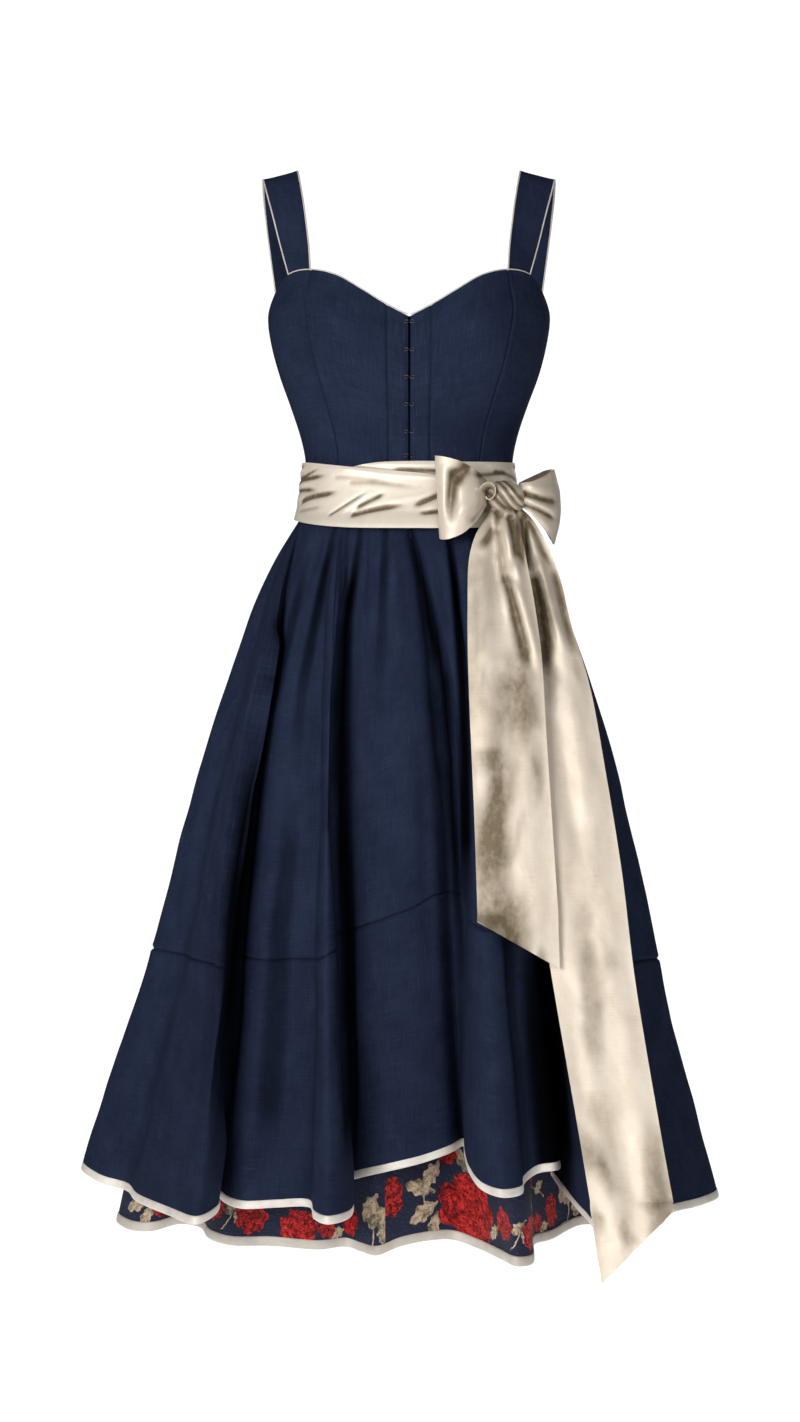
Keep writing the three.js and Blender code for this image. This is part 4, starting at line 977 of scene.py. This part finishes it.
def skirtShade(points):
    # painted shade from how far each point lies behind its neighbours and from the folds pressed in, with
    # painted shadow beside the tails and painted shade towards the hem
    look = skirtPaintedShade
    x, y, z = points[..., 0], points[..., 1], points[..., 2]
    reach = np.hypot(x, y)
    beside = look["beside"]
    around = sum(np.roll(reach, k, axis=1) for k in range(-beside, beside + 1)) / (2 * beside + 1)
    dark = np.clip((around - reach - look["slack"]) / look["full"], 0, 1)
    dark = dark * np.clip((-z - look["from"]) / look["over"], 0, 1)
    for rows in skirtFolds:
        middle, width, depth = downFold(rows, z)
        inside = (z <= rows[0][0] + 8) & (z >= rows[-1][0]) & (y < 0)
        fold = np.clip(-depth / 8, 0, 1) * np.exp(-((x - middle) / (width * 1.05)) ** 4)
        dark = np.maximum(dark, np.where(inside, fold, 0))
    middle, width, share = downFold(skirtShadow, z)
    # painted shadow beside the tails
    paintedTailShadow = share * np.exp(-((x - middle) / width) ** 6) * (y < 0) * (z < skirtShadow[0][0])
    start, tall, most = look["hem"]
    return np.maximum(np.maximum(dark, paintedTailShadow), np.clip((-z - start) / tall, 0, 1) * most)


def makeOverskirt():
    rows = foldRows(overskirt["front"], overskirt["back"], overskirt["hemBehind"], overskirt["seamBehind"], 1)
    threads = threadsOf(rows)
    top = bodice["waistSeam"]
    upperFalls, flounceFalls = [], []
    deep, wide = overskirt["seamDip"]
    high, away, broad = overskirt["pucker"]
    for thread in threads:
        drop = thread["foot"][2] - top
        seam = (thread["seam"] + 0.2 - top) / drop
        end = 1 + (overskirt["binding"] - 0.3) / drop
        near = np.array(overskirt["nearSeam"]) / -drop
        above = np.linspace(0, 1, overskirt["upperRows"]) ** 1.15 * (seam - 8 / -drop)
        upperFalls.append(np.concatenate([above, seam - near]))
        seam = (thread["seam"] - 0.2 - top) / drop
        below = np.linspace(seam + 8 / -drop, end, overskirt["flounceRows"])
        flounceFalls.append(np.concatenate([seam + near[::-1], below]))
    for name, falls, node, flat, area in (
            ("cloth_overskirt", upperFalls, "overskirt_gore_%d", (2.7, 0.56), 0.95),
            ("cloth_flounce", flounceFalls, "flounce_%d", (3.7, 0.3), 0.86)):
        points = skirtPoints(threads, 0, falls)
        normals = gridNormals(points, True)
        points = pressCreases(points, normals, skirtCreases)
        points = pressFolds(points, normals, skirtFolds)
        points = pressCreases(points, normals, skirtCreasesBehind, side=1)
        depth = np.clip((-points[..., 2:3] - 400) / 250, 0, 1)
        drift = sum(softNoise(points, scale, seed) * most for scale, seed, most in overskirt["drift"])
        underTails = (points[..., 1:2] < 0) & (points[..., 0:1] > 50)
        drift = np.where(underTails, np.minimum(drift, overskirt["driftByTails"]), drift)
        points = points + normals * drift * depth
        # the flounce seam pulls the cloth in a little
        seamRow = -1 if name == "cloth_overskirt" else 0
        fromSeam = np.abs(points[..., 2] - points[seamRow, :, 2][None])
        uneven = 0.5 + 0.5 * np.sin(np.arange(len(threads)) * 0.9)
        dip = np.exp(-(fromSeam / wide) ** 2) * deep
        dip -= np.exp(-((fromSeam - away) / broad) ** 2) * high * uneven
        points = points - normals * dip[..., None]
        obj = clothPiece(name, points, ringCloth(points, threads), overskirt["wall"], "linen",
                         closed=True, shade=skirtShade(points))
        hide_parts(*[node % (i + 1) for i in range(6)])
    # the overskirt's binding gets a slight painted shade
    binding = bindingPiece("satin_overskirt_hem", threads, overskirt["binding"], 0, overskirt["wall"],
                           ["overskirt_binding"], 0.05)
    print("overskirt made")


def makeUnderskirt():
    rows = foldRows(underskirt["front"], underskirt["back"], underskirt["hemBehind"], 0, 0.96)
    # the hem lifts at the right, beside the long tail
    middle, width, most = underskirt["lift"]
    rows = [row[:3] + (row[3] + most * math.exp(-((row[0] - middle) / width) ** 4),) + row[4:]
            for row in rows]
    threads = threadsOf(rows)
    falls = []
    for thread in threads:
        end = 1 + (underskirt["binding"] - 0.3) / (thread["foot"][2] - bodice["waistSeam"])
        falls.append(np.linspace(0, 1, underskirt["rows"]) ** 0.9 * end)
    points = skirtPoints(threads, underskirt["inset"], falls)
    normals = gridNormals(points, True)
    points = pressCreases(points, normals, skirtCreases, downTo=-640)
    points = pressFolds(points, normals, skirtFolds, downTo=-900)
    points = pressCreases(points, normals, skirtCreasesBehind, side=1, downTo=-640)
    depth = np.clip((-points[..., 2:3] - 400) / 400, 0, 1)
    for scale, seed, most in underskirt["drift"]:
        points = points + normals * softNoise(points, scale, seed) * most * depth
    obj = clothPiece("cloth_underskirt", points, ringCloth(points, threads), underskirt["wall"], "brocade",
                     closed=True)
    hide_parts(*["underskirt_gore_%d" % (i + 1) for i in range(5)])
    # the underskirt's binding gets a heavier painted shade
    binding = bindingPiece("satin_underskirt_hem", threads, underskirt["binding"], underskirt["inset"],
                           underskirt["wall"], ["underskirt_binding"], 0.42)
    print("underskirt made")


sash = {
    "wall": 0.8, "rows": 46, "cols": 150,
    # painted light over the whole sash: its foldShade starts below 0, a painted highlight
    "shade": -0.35,      # below 0 is lit
    # mean height over the form, waves on it, and how they turn per mm of height and per degree
    "wave": (0.7, 0.35, 0.14, 0.04), "edgeRoll": (0.7, 1.5), "softLimit": (1.1, 3.2),
    # darkenBy and lightenBy scale the painted shade in troughs and the painted highlight on ridges
    "pressed": 0.5, "darkenBy": 1.8, "lightenBy": 0.5,
    # height, half width, front, back
    "form": [
        (-322, 121.0, 94.8, 89.8), (-338, 120.6, 94.4, 89.4), (-352, 122.6, 96.6, 92.0),
        (-372, 124.2, 99.8, 96.0), (-394, 128.4, 104.8, 101.8), (-405, 134.2, 110.0, 106.6),
        (-416, 139.4, 114.8, 111.4)],
    # angle, top, bottom
    "frontEdges": [(-91, -333, -396), (-70, -334, -402), (-30, -343, -412), (0, -350, -414), (30, -360, -413),
                   (44, -366, -410)],
    "crossEdges": [(-34, -345, -392), (-10, -338, -394), (30, -337, -396), (60, -335, -397),
                   (91, -332, -397)],
    "backEdges": [(91.3, -332, -397), (140, -330, -402), (180, -330, -404), (220, -331, -402),
                  (268.7, -333, -396)],
    # creases: angle and height of each end, width, depth
    "frontCreases": [
        (-34, -346.5, 34, -363, 1.7, 1.5), (-96, -341, -72, -338, 2.2, -2.0),
        (-96, -346.5, -66, -341, 2, 1.6), (-96, -361, -74, -357, 2.2, -2.4),
        (-84, -352, -50, -344, 2.2, -2.2), (-95, -352, -42, -353.5, 2.9, -3),
        (-95, -358.5, -56, -359, 3, 1.4), (-95, -367, -50, -366.5, 3, -2.6),
        (-72, -381, -34, -370, 3.5, -3.2), (-95, -376, -66, -374, 3.2, 1.2),
        (-72, -392, -44, -386, 3, -1.4), (-40, -399, -17, -373, 2.8, -2.2),
        (-31, -395, -15, -371, 3, 1.4), (-23, -390.5, -8, -372, 3.2, -2.8),
        (-26, -399.5, 0, -388, 3.8, -3.2), (-30, -361, 6, -366, 3.2, -1.3),
        (-40, -354, -4, -361, 3, -1.2), (-8, -384, 14, -371, 3.2, 0.9), (12, -376, 0.5, -390, 3.5, -3.6),
        (14, -393, 2, -398, 3.2, -3), (16, -384, 4, -393, 2.8, 1.2), (-95, -390, -58, -399, 4, 0.8),
        (20, -372, 42, -378, 3.8, -1.8), (20, -398, 42, -392, 3.8, -1.8)],
    "crossCreases": [
        (-34, -342, 36, -357.5, 1.9, -1.8), (-6, -345.5, 36, -355, 2.8, -2.6),
        (-14, -342, 20, -341.5, 2.5, 1.2), (32, -352, 64, -345, 3, -2.2), (40, -340, 84, -350, 3.2, 1.4),
        (46, -345, 88, -357, 3, -2.4), (52, -354, 90, -366, 3.8, 1.6), (50, -362, 90, -374, 3.2, -2),
        (54, -380, 91, -380, 3.8, 1.2), (50, -390, 91, -388, 3.2, -1.4), (92, -342, 72, -336, 2.5, -2)],
    "backCreases": [
        (92, -345, 180, -350, 3.4, -1.6), (100, -358, 250, -352, 3.6, 1.5),
        (120, -368, 240, -372, 3.8, -1.8), (150, -384, 266, -378, 3.8, -1.4),
        (92, -378, 170, -386, 3.6, 1.4), (180, -340, 266, -346, 3.0, 1.2)],
}


def sashPoint(degrees, height):
    form = sash["form"]
    x, y = oval(math.radians(degrees), along(form, 0, 1, height), along(form, 0, 2, height),
                along(form, 0, 3, height))
    return np.array([x, y, height])


def makeSashLayer(name, edges, lift, creases, flat):
    rows, cols = sash["rows"], sash["cols"]
    points = np.zeros((rows, cols, 3))
    normals = np.zeros((rows, cols, 3))
    angle = np.linspace(edges[0][0], edges[-1][0], cols)
    level = np.zeros((rows, cols))
    for j, degrees in enumerate(angle):
        top, bottom = along(edges, 0, 1, degrees), along(edges, 0, 2, degrees)
        for i in range(rows):
            height = lerp(top, bottom, i / (rows - 1))
            level[i, j] = height
            normals[i, j] = normalOf(sashPoint, degrees, height)
            points[i, j] = sashPoint(degrees, height)
    around = np.repeat(angle[None], rows, axis=0)
    mean, wave, perHeight, perDegree = sash["wave"]
    amount = mean + wave * np.sin(level * perHeight + around * perDegree)
    # painted shade and light: a painted highlight over the whole sash, painted shade in each trough and a
    # painted highlight on each ridge
    dark = np.full(level.shape, sash["shade"])
    for a1, z1, a2, z2, width, depth in creases:
        t = (around - a1) / (a2 - a1)
        line = z1 + (z2 - z1) * t + np.sin(around * 0.11 + z1) * 1.2
        fade = np.clip(t / 0.08, 0, 1) * np.clip((1 - t) / 0.25, 0, 1)
        press = depth * fade * np.exp(-((level - line) / width) ** 2)
        amount += press * sash["pressed"]
        dark += np.where(press < 0, -press / sash["darkenBy"], -press * sash["lightenBy"])
    edge = np.minimum(np.arange(rows), np.arange(rows)[::-1])[:, None]
    deep, wide = sash["edgeRoll"]
    amount -= deep * np.exp(-(edge / wide) ** 2)     # folded edge rolls in
    low, high = sash["softLimit"]
    amount = np.maximum(np.tanh((amount + low) / high) * high - low, -low)
    points = points + normals * (lift + amount)[..., None]
    cloth = flatSheet(rows, cols, flat[0] * 1000, flat[1] * 1000)
    obj = clothPiece("silk_" + name, points, cloth, sash["wall"], "silk", shade=dark)
    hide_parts(name)


def makeSash():
    for name, edges, lift, creases, flat, rests in (
            ("sash_front", "frontEdges", 2.6, "frontCreases", (0.33, 0.078), "bodice_front_left"),
            ("sash_crossing", "crossEdges", 1.0, "crossCreases", (0.30, 0.066), "bodice_front_right"),
            ("sash_back", "backEdges", 1.0, "backCreases", (0.385, 0.076), "bodice_back_centre")):
        makeSashLayer(name, sash[edges], lift, sash[creases], flat)
    print("sash made")


bow = {
    "wall": 0.9, "loopRows": 56, "tailCols": 42, "tailFolds": 2,
    # unevenness of the tails: share of its height, per mm, seed, mm
    "tailDrift": ((0.45, 0.03, 0, 1.6), (0.7, 0.09, 2, 0.5)),
    # the knot's end: turns and how deep the roll goes
    "roll": {"x": 89, "y": -128, "z": -376, "radius": 13.5, "turns": 0.98, "deep": 13, "rows": 20,
             "cols": 60},
    # x, y, top, bottom, puff
    "leftLoop": [
        (86.4, -95.6, -361, -386, 0), (68, -105.6, -351, -398, 0), (47, -112.05, -342, -408, 0),
        (34, -116.7, -337, -420, 0), (28.5, -124.0, -334, -425, 0), (31, -131.0, -334.5, -427, 1),
        (41, -136.0, -336.5, -426, 2.5), (57, -136.5, -341, -420, 5), (73, -129.0, -349, -407, 4),
        (82, -116.0, -356, -395, 1.5), (86.4, -104.0, -361, -387, 0)],
    "rightLoop": [
        (122.6, -95.8, -362, -387, 0), (136, -88.0, -355, -395, 0), (152, -75.0, -347, -409, 0),
        (164, -66.5, -344, -423, 0), (171, -67.5, -344.5, -428, 0), (172, -76.0, -346, -428, 0.5),
        (165, -90.0, -350, -421, 2), (151, -105.0, -357, -409, 3.5), (137, -113.5, -362, -398, 2.5),
        (127.5, -111.0, -363, -391, 1), (122.6, -104.2, -363, -388, 0)],
    "knot": {"x": 108, "y": -103, "z": -377.5, "halfLength": 21, "halfHeight": 18, "halfDepth": 23,
             # shade is a painted shade over the whole knot
             "lean": -0.12, "shade": 0.32,
             # angle round the knot, slant along it, width, depth
             "folds": [(-2.6, 1.5, 0.22, -0.17), (-2.95, 1.3, 0.3, 0.1), (-3.5, 1.7, 0.2, -0.15),
                       (-2.0, 1.2, 0.24, -0.14), (-1.5, 0.9, 0.3, 0.09), (-4.1, 1.4, 0.24, -0.13),
                       (-3.8, 1.5, 0.2, 0.07), (0.6, 0.8, 0.4, -0.1), (-0.4, 0.8, 0.4, -0.08)]},
    # z, left, right, y, crease
    "shortTail": [
        (-386.3, 93, 112, -107.5, 1.5), (-402, 85, 119, -112.5, 4.5), (-422, 73, 124, -121, 7),
        (-452, 65.5, 130, -128, 7), (-500, 64, 138, -143.5, 6), (-560, 64, 145, -159, 5),
        (-640, 66.5, 149, -175, 3.5), (-730, 70, 154, -193, 2.5), (-850, 73, 160, -214, 2)],
    "shortPoint": (-842, -893, -223),
    "longTail": [
        (-388.8, 107, 124, -98, 1.5), (-404, 106, 138, -98.5, 3), (-430, 104, 153, -101, 5),
        (-470, 106, 168, -109, 5.5), (-520, 110, 179, -124, 6), (-590, 116, 199, -140, 4.5),
        (-680, 124, 214, -163, 4), (-790, 136, 230, -190, 3), (-910, 154, 243, -216, 2.5),
        (-1050, 177, 264, -252, 2.5), (-1140, 190, 277.5, -276, 2.5)],
    "longPoint": (-1217, -1139, -291),
}


bowCreases = {
    # x1, z1, x2, z2, width, depth
    "bow_loop_left": [
        (70, -333, 50, -368, 8, -5), (53, -346, 41, -414, 7.5, -5.5), (87, -342, 74, -360, 4.5, -5),
        (84, -340, 64, -350, 4.0, 2), (88, -374, 44, -410, 11, 4.0), (86, -386, 64, -410, 4, -4.0),
        (37, -342, 35, -404, 4, 1.5), (86, -366, 72, -372, 3, 2.0)],
    "bow_loop_right": [
        (122, -373, 170, -386, 4.5, -5.5), (124, -385, 168, -405, 3.6, -5.0),
        (122, -367, 170, -368, 5, 2.0), (124, -380, 170, -395, 3, 2.2), (126, -390, 168, -418, 4, 2.0),
        (124, -362, 160, -350, 3, -2.5)],
}


forward = np.array([0.0, -1.0, 0.0])


def makeLoop(name, stations, flat):
    rows = smoothRows(stations, 10)
    count = bow["loopRows"]
    points = np.zeros((count, len(rows), 3))
    total = len(rows) - 1
    way = np.arange(len(rows)) / total
    for j, (x, y, top, bottom, puff) in enumerate(rows):
        near = abs(j / total - 0.5) * 2          # 1 at the knot, 0 at the end of the loop
        for i in range(count):
            w = i / (count - 1)
            bulge = math.sin(math.pi * w) * puff
            gather = max(near - 0.6, 0) * 4.0 * math.cos(w * math.pi * 6 + 1)
            end = max(1 - near * 1.5, 0)
            slant = end * 6.5 * w if name == "bow_loop_left" else -end * (3 + 9 * (2 * w - 1) ** 2)
            points[i, j] = (x + slant, y - bulge - gather, lerp(top, bottom, w))
    front = np.clip((way - 0.5) * 8, 0, 1)[None, :, None]
    creased = pressCreases(points, np.broadcast_to(forward, points.shape), bowCreases[name])
    points = points + (creased - points) * front
    normals = gridNormals(points)
    points = points + normals * softNoise(points, 0.06, 3) * 0.7
    cloth = flatSheet(count, len(rows), flat[0] * 1000, flat[1] * 1000)
    # painted shade: in the crease troughs, under the knot and inside the loop
    dark = np.maximum(-creaseAmount(points, bowCreases[name]), 0) / 4.6 * front[..., 0] + 0.04
    dark += np.clip((way - 0.86) * 3, 0, 0.35)[None]      # under the knot
    dark += np.clip((0.45 - way) * 4, 0, 0.8)[None]       # inside the loop
    obj = clothPiece("silk_" + name, points, cloth, bow["wall"], "silk", shade=dark)
    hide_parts(name)


def makeRoll():
    # the knot's end, rolled in on itself at its left
    roll = bow["roll"]
    rows, cols = roll["rows"], roll["cols"]
    points = np.zeros((rows, cols, 3))
    for j in range(cols):
        w = j / (cols - 1)
        a = 3.9 - w * roll["turns"] * 2 * math.pi
        for i in range(rows):
            d = i / (rows - 1)
            r = roll["radius"] * (1 - 0.74 * w) * (1.1 - 0.5 * d)
            points[i, j] = (roll["x"] + r * math.cos(a) * 0.85 + r * math.sin(a) * 0.15 + (1 - d) * -1.5,
                            roll["y"] + d * roll["deep"] - (1 - w) * 2.0, roll["z"] + r * math.sin(a) * 1.12)
    cloth = flatSheet(rows, cols, 48, 15)
    # painted shade, deeper inside the roll
    dark = np.linspace(0, 1, rows)[:, None] ** 1.5 * 0.9 + np.linspace(0.05, 0.2, cols)[None]
    obj = clothPiece("silk_bow_roll", points, cloth, bow["wall"], "silk", shade=dark)


def makeKnot():
    k = bow["knot"]
    bpy.ops.object.select_all(action='DESELECT')
    bpy.ops.mesh.primitive_uv_sphere_add(segments=64, ring_count=40, radius=1)
    obj = bpy.context.active_object
    obj.name = "silk_bow_knot"
    mesh = obj.data
    mesh.uv_layers[0].name = "cloth"
    painted = mesh.attributes.new("foldShade", 'FLOAT', 'POINT')
    for vertex in mesh.vertices:
        lengthwise, a = vertex.co.z, math.atan2(vertex.co.y, vertex.co.x)
        ring = max(1 - lengthwise * lengthwise, 0) ** 0.34
        fold = 1.0
        for where, slant, width, depth in k["folds"]:
            away = math.sin((a - where - lengthwise * slant) / 2) * 2
            fold += depth * math.exp(-(away / width) ** 2) * (1 - 0.35 * abs(lengthwise))
        # painted shade in the knot's troughs, and over the whole knot
        painted.data[vertex.index].value = min(max((1.01 - fold) * 8, 0) + k["shade"], 1)
        x = lengthwise * k["halfLength"]
        vertex.co = Vector((k["x"] + x, k["y"] + k["halfDepth"] * ring * fold * math.cos(a),
                            k["z"] + k["halfHeight"] * ring * fold * math.sin(a) + x * k["lean"])) * mm
    for corner in mesh.uv_layers[0].data:
        corner.uv = (corner.uv[0] * 0.1, corner.uv[1] * 0.035)
    turnOutward()
    bpy.ops.object.shade_smooth()
    dressIn(obj, "silk")
    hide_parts("bow_knot")


tailCreases = {
    "bow_tail_short": [
        (93, -392, 100, -470, 3.6, 4.0), (98, -440, 109, -520, 4.0, 3.0),
        (95, -410, 106, -480, 4.0, -4.5), (101, -462, 136, -575, 6.5, -5.5),
        (104, -400, 124, -485, 4.5, 3.6), (118, -470, 146, -590, 5.5, 3.0),
        (112, -396, 118, -458, 5.0, -6.0), (121, -396, 127, -462, 3.5, -4.5),
        (100, -392, 80, -440, 6, -4.0), (76, -440, 78, -640, 9, 1.4), (88, -560, 96, -800, 12, -1.2),
        (128, -600, 140, -830, 12, -0.6), (112, -640, 120, -860, 12, 1.0)],
    "bow_tail_long": [
        (126, -396, 132, -470, 4.5, -5.0), (120, -466, 146, -455, 3.2, 3.0),
        (138, -462, 150, -580, 7.5, -5.5), (140, -440, 176, -560, 6.0, 4.0),
        (126, -392, 162, -462, 5.0, -3.5), (158, -455, 186, -560, 6.5, -3.5),
        (170, -580, 196, -760, 11, 1.2), (160, -620, 186, -800, 10, -0.6),
        (204, -720, 222, -930, 12, -0.6), (182, -860, 214, -1060, 12, 1.2),
        (196, -940, 226, -1130, 11, -1.0), (172, -900, 190, -1080, 10, -0.6)],
}


# painted shade on the silk: x, z, half width, half height, turn, share
tailPaintedShade = {
    "bow_tail_short": [
        (82, -472, 15, 42, 0, 0.22), (72, -555, 9, 64, 0, 0.32), (116, -575, 13, 26, 0.2, 0.45),
        (119, -612, 20, 34, 0, 0.6), (91, -668, 19, 15, 0, 0.5), (99, -706, 13, 28, -0.3, 0.5),
        (89, -766, 19, 48, 0, 0.72), (101, -842, 26, 30, 0.2, 0.72), (113, -878, 14, 24, 0, 0.6),
        (139, -688, 7, 24, 0, 0.4), (118, -754, 4, 22, -0.2, 0.25), (144, -884, 6, 12, 0.3, 0.4)],
    "bow_tail_long": [
        (148, -505, 10, 40, 0.1, 0.6), (154, -570, 9, 38, 0.1, 0.4), (190, -560, 7, 34, 0.15, 0.25),
        (188, -838, 8, 16, 0, 0.25), (190, -878, 10, 18, 0, 0.36), (214, -890, 10, 7, 0, 0.25),
        (195, -942, 10, 46, 0.05, 0.4), (197, -1042, 9, 14, 0, 0.22), (196, -1092, 11, 28, 0.62, 0.55),
        (261, -1116, 11, 52, 0.05, 0.5), (198, -1152, 7, 15, 0, 0.4), (229, -1165, 7, 13, 0.2, 0.35)],
}


def paintedShadeAmount(points, patches):
    x = points[..., 0] + softNoise(points, 0.055, 11)[..., 0] * 6
    z = points[..., 2] + softNoise(points, 0.04, 17)[..., 0] * 10
    clear = np.ones(x.shape)
    for x0, z0, wide, tall, turn, share in patches:
        c, s = math.cos(turn), math.sin(turn)
        far = (((x - x0) * c + (z - z0) * s) / wide) ** 2 + (((z - z0) * c - (x - x0) * s) / tall) ** 2
        clear *= 1 - min(share * 1.12, 0.85) * np.exp(-far * 0.62 * (0.4 + 0.6 * far))
    return 1 - clear


def makeTail(name, levels, tip, seed, flat):
    last = levels[-1]
    slope = (last[1] - levels[-2][1]) / (last[0] - levels[-2][0])
    controls = [(z, z, left, right, y, crease) for z, left, right, y, crease in levels[:-1]]
    z = max(tip[0], tip[1]) + 6
    controls.append((z, z, last[1], last[2], last[3], last[4]))
    rows = smoothRows(controls, 12).tolist()
    end = rows[-1]
    for w in np.linspace(0, 1, 20)[1:]:
        rows.append([lerp(end[0], tip[0], w), lerp(end[1], tip[1], w), end[2], end[3],
                     lerp(end[4], tip[2], w), end[5]])
    cols = bow["tailCols"]
    points = np.zeros((len(rows), cols, 3))
    tall = np.zeros((len(rows), cols))
    for i, (zLeft, zRight, left, right, y, crease) in enumerate(rows):
        for j in range(cols):
            w = j / (cols - 1)
            height = lerp(zLeft, zRight, w)
            x = lerp(left, right, w)
            if min(zLeft, zRight) < last[0]:
                x += (height - last[0]) * slope
            wave = math.cos(w * math.pi * 2 * bow["tailFolds"]) * crease * 0.3 - crease * 0.25
            points[i, j] = (x, y + wave, height)
            tall[i, j] = height
    # painted shade: in the crease troughs, over the whole tail, in patches, towards the tip, and painted
    # shadow under the knot and the left loop
    dark = np.maximum(-creaseAmount(points, tailCreases[name]), 0) / 4.4 + 0.13
    dark += paintedShadeAmount(points, tailPaintedShade[name])
    dark += np.clip((-1090 - points[..., 2]) / 120, 0, 1) * 0.22        # painted shade towards the tip
    dark += np.clip((points[..., 2] + 405) / 20, 0, 0.8)                # under the knot
    if name == "bow_tail_short":
        loop = np.clip((points[..., 2] + 428 - (points[..., 0] - 64) * 0.95) / 8, 0, 1)
        dark += 0.75 * loop * np.clip((92 - points[..., 0]) / 6, 0, 1)  # under the left loop
    points = pressCreases(points, np.broadcast_to(forward, points.shape), tailCreases[name])
    for stretch, scale, more, most in bow["tailDrift"]:
        points = points + forward * softNoise(points * np.array([1, 1, stretch]), scale, seed + more) * most
    across = np.repeat(np.linspace(0, flat[0] * 1000, cols)[None], len(rows), axis=0)
    obj = clothPiece("silk_" + name, points, np.stack([across, tall + 1300], axis=2), bow["wall"], "silk",
                     shade=dark)
    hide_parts(name)


def makeBow():
    makeLoop("bow_loop_left", bow["leftLoop"], (0.15, 0.078))
    makeLoop("bow_loop_right", bow["rightLoop"], (0.14, 0.072))
    makeKnot()
    makeRoll()
    makeTail("bow_tail_short", bow["shortTail"], bow["shortPoint"], 1.0, (0.092, 0.54))
    makeTail("bow_tail_long", bow["longTail"], bow["longPoint"], 2.5, (0.092, 0.88))
    print("bow made")


makeBodice()
makeStraps()
makeOverskirt()
makeUnderskirt()
makeSash()
makeBow()
for i in range(6):
    for word in ("hook", "eye"):
        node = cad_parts["%s_%d" % (word, i + 1)]
        node.data.materials.clear()
        node.data.materials.append(steel)
print("hooks finished")


studio = {
    "floor": -1.5, "floorSize": 2.6, "paper": 1.0, "tone": 0.95, "ambient": 0.13, "backdrop": 1.1,
    # power, width, place, aim
    "keyLight": (84, 1.3, (-1.5, -3.3, -0.12), (0, 0, -0.5)),
    "softLight": (22, 2.0, (0.9, -3.6, 0.5), (0, 0, -0.6)),
    "loopLight": (4, 0.8, (2.2, -2.4, 0.2), (0.1, 0, -0.4)),
    "sideLight": (4, 0.9, (-2.3, -1.3, -0.25), (0, 0, -0.37)),
    "backLight": (18, 1.6, (0.8, 3.0, 0.7), (0, 0, -0.5)),
}


def makeStudio():
    bpy.ops.object.select_all(action='DESELECT')
    bpy.ops.mesh.primitive_plane_add(size=studio["floorSize"], location=(0, 0, 0))
    floor = bpy.context.active_object
    floor.name = "studioFloor"
    for vertex in floor.data.vertices:
        vertex.co.z = studio["floor"]
    paper = bpy.data.materials.new("palePaper")
    paper.use_nodes = True
    shader = paper.node_tree.nodes["Principled BSDF"]
    shader.inputs["Base Color"].default_value = rgb(studio["tone"], studio["tone"], studio["tone"])
    shader.inputs["Roughness"].default_value = 1.0
    shader.inputs["Emission Color"].default_value = rgb(1, 1, 1)
    shader.inputs["Emission Strength"].default_value = studio["paper"]
    floor.data.materials.append(paper)

    world = bpy.data.worlds.new("studioWorld")
    bpy.context.scene.world = world
    world.use_nodes = True
    tree = world.node_tree
    soft = tree.nodes["Background"]
    soft.inputs[0].default_value = rgb(1, 1, 1)
    soft.inputs[1].default_value = studio["ambient"]
    seen = tree.nodes.new('ShaderNodeBackground')
    seen.inputs[0].default_value = rgb(1, 1, 1)
    seen.inputs[1].default_value = studio["backdrop"]
    path = tree.nodes.new('ShaderNodeLightPath')
    blend = tree.nodes.new('ShaderNodeMixShader')
    tree.links.new(path.outputs["Is Camera Ray"], blend.inputs[0])
    tree.links.new(soft.outputs[0], blend.inputs[1])
    tree.links.new(seen.outputs[0], blend.inputs[2])
    tree.links.new(blend.outputs[0], tree.nodes["World Output"].inputs[0])

    for name in ("keyLight", "softLight", "loopLight", "sideLight", "backLight"):
        power, width, place, aim = studio[name]
        data = bpy.data.lights.new(name, 'AREA')
        data.energy = power
        data.size = width
        lamp = bpy.data.objects.new(name, data)
        bpy.context.scene.collection.objects.link(lamp)
        lamp.location = place
        lamp.rotation_euler = (Vector(aim) - Vector(place)).to_track_quat('-Z', 'Y').to_euler()


makeStudio()
bpy.context.scene.view_settings.view_transform = 'Standard'
print("studio made")
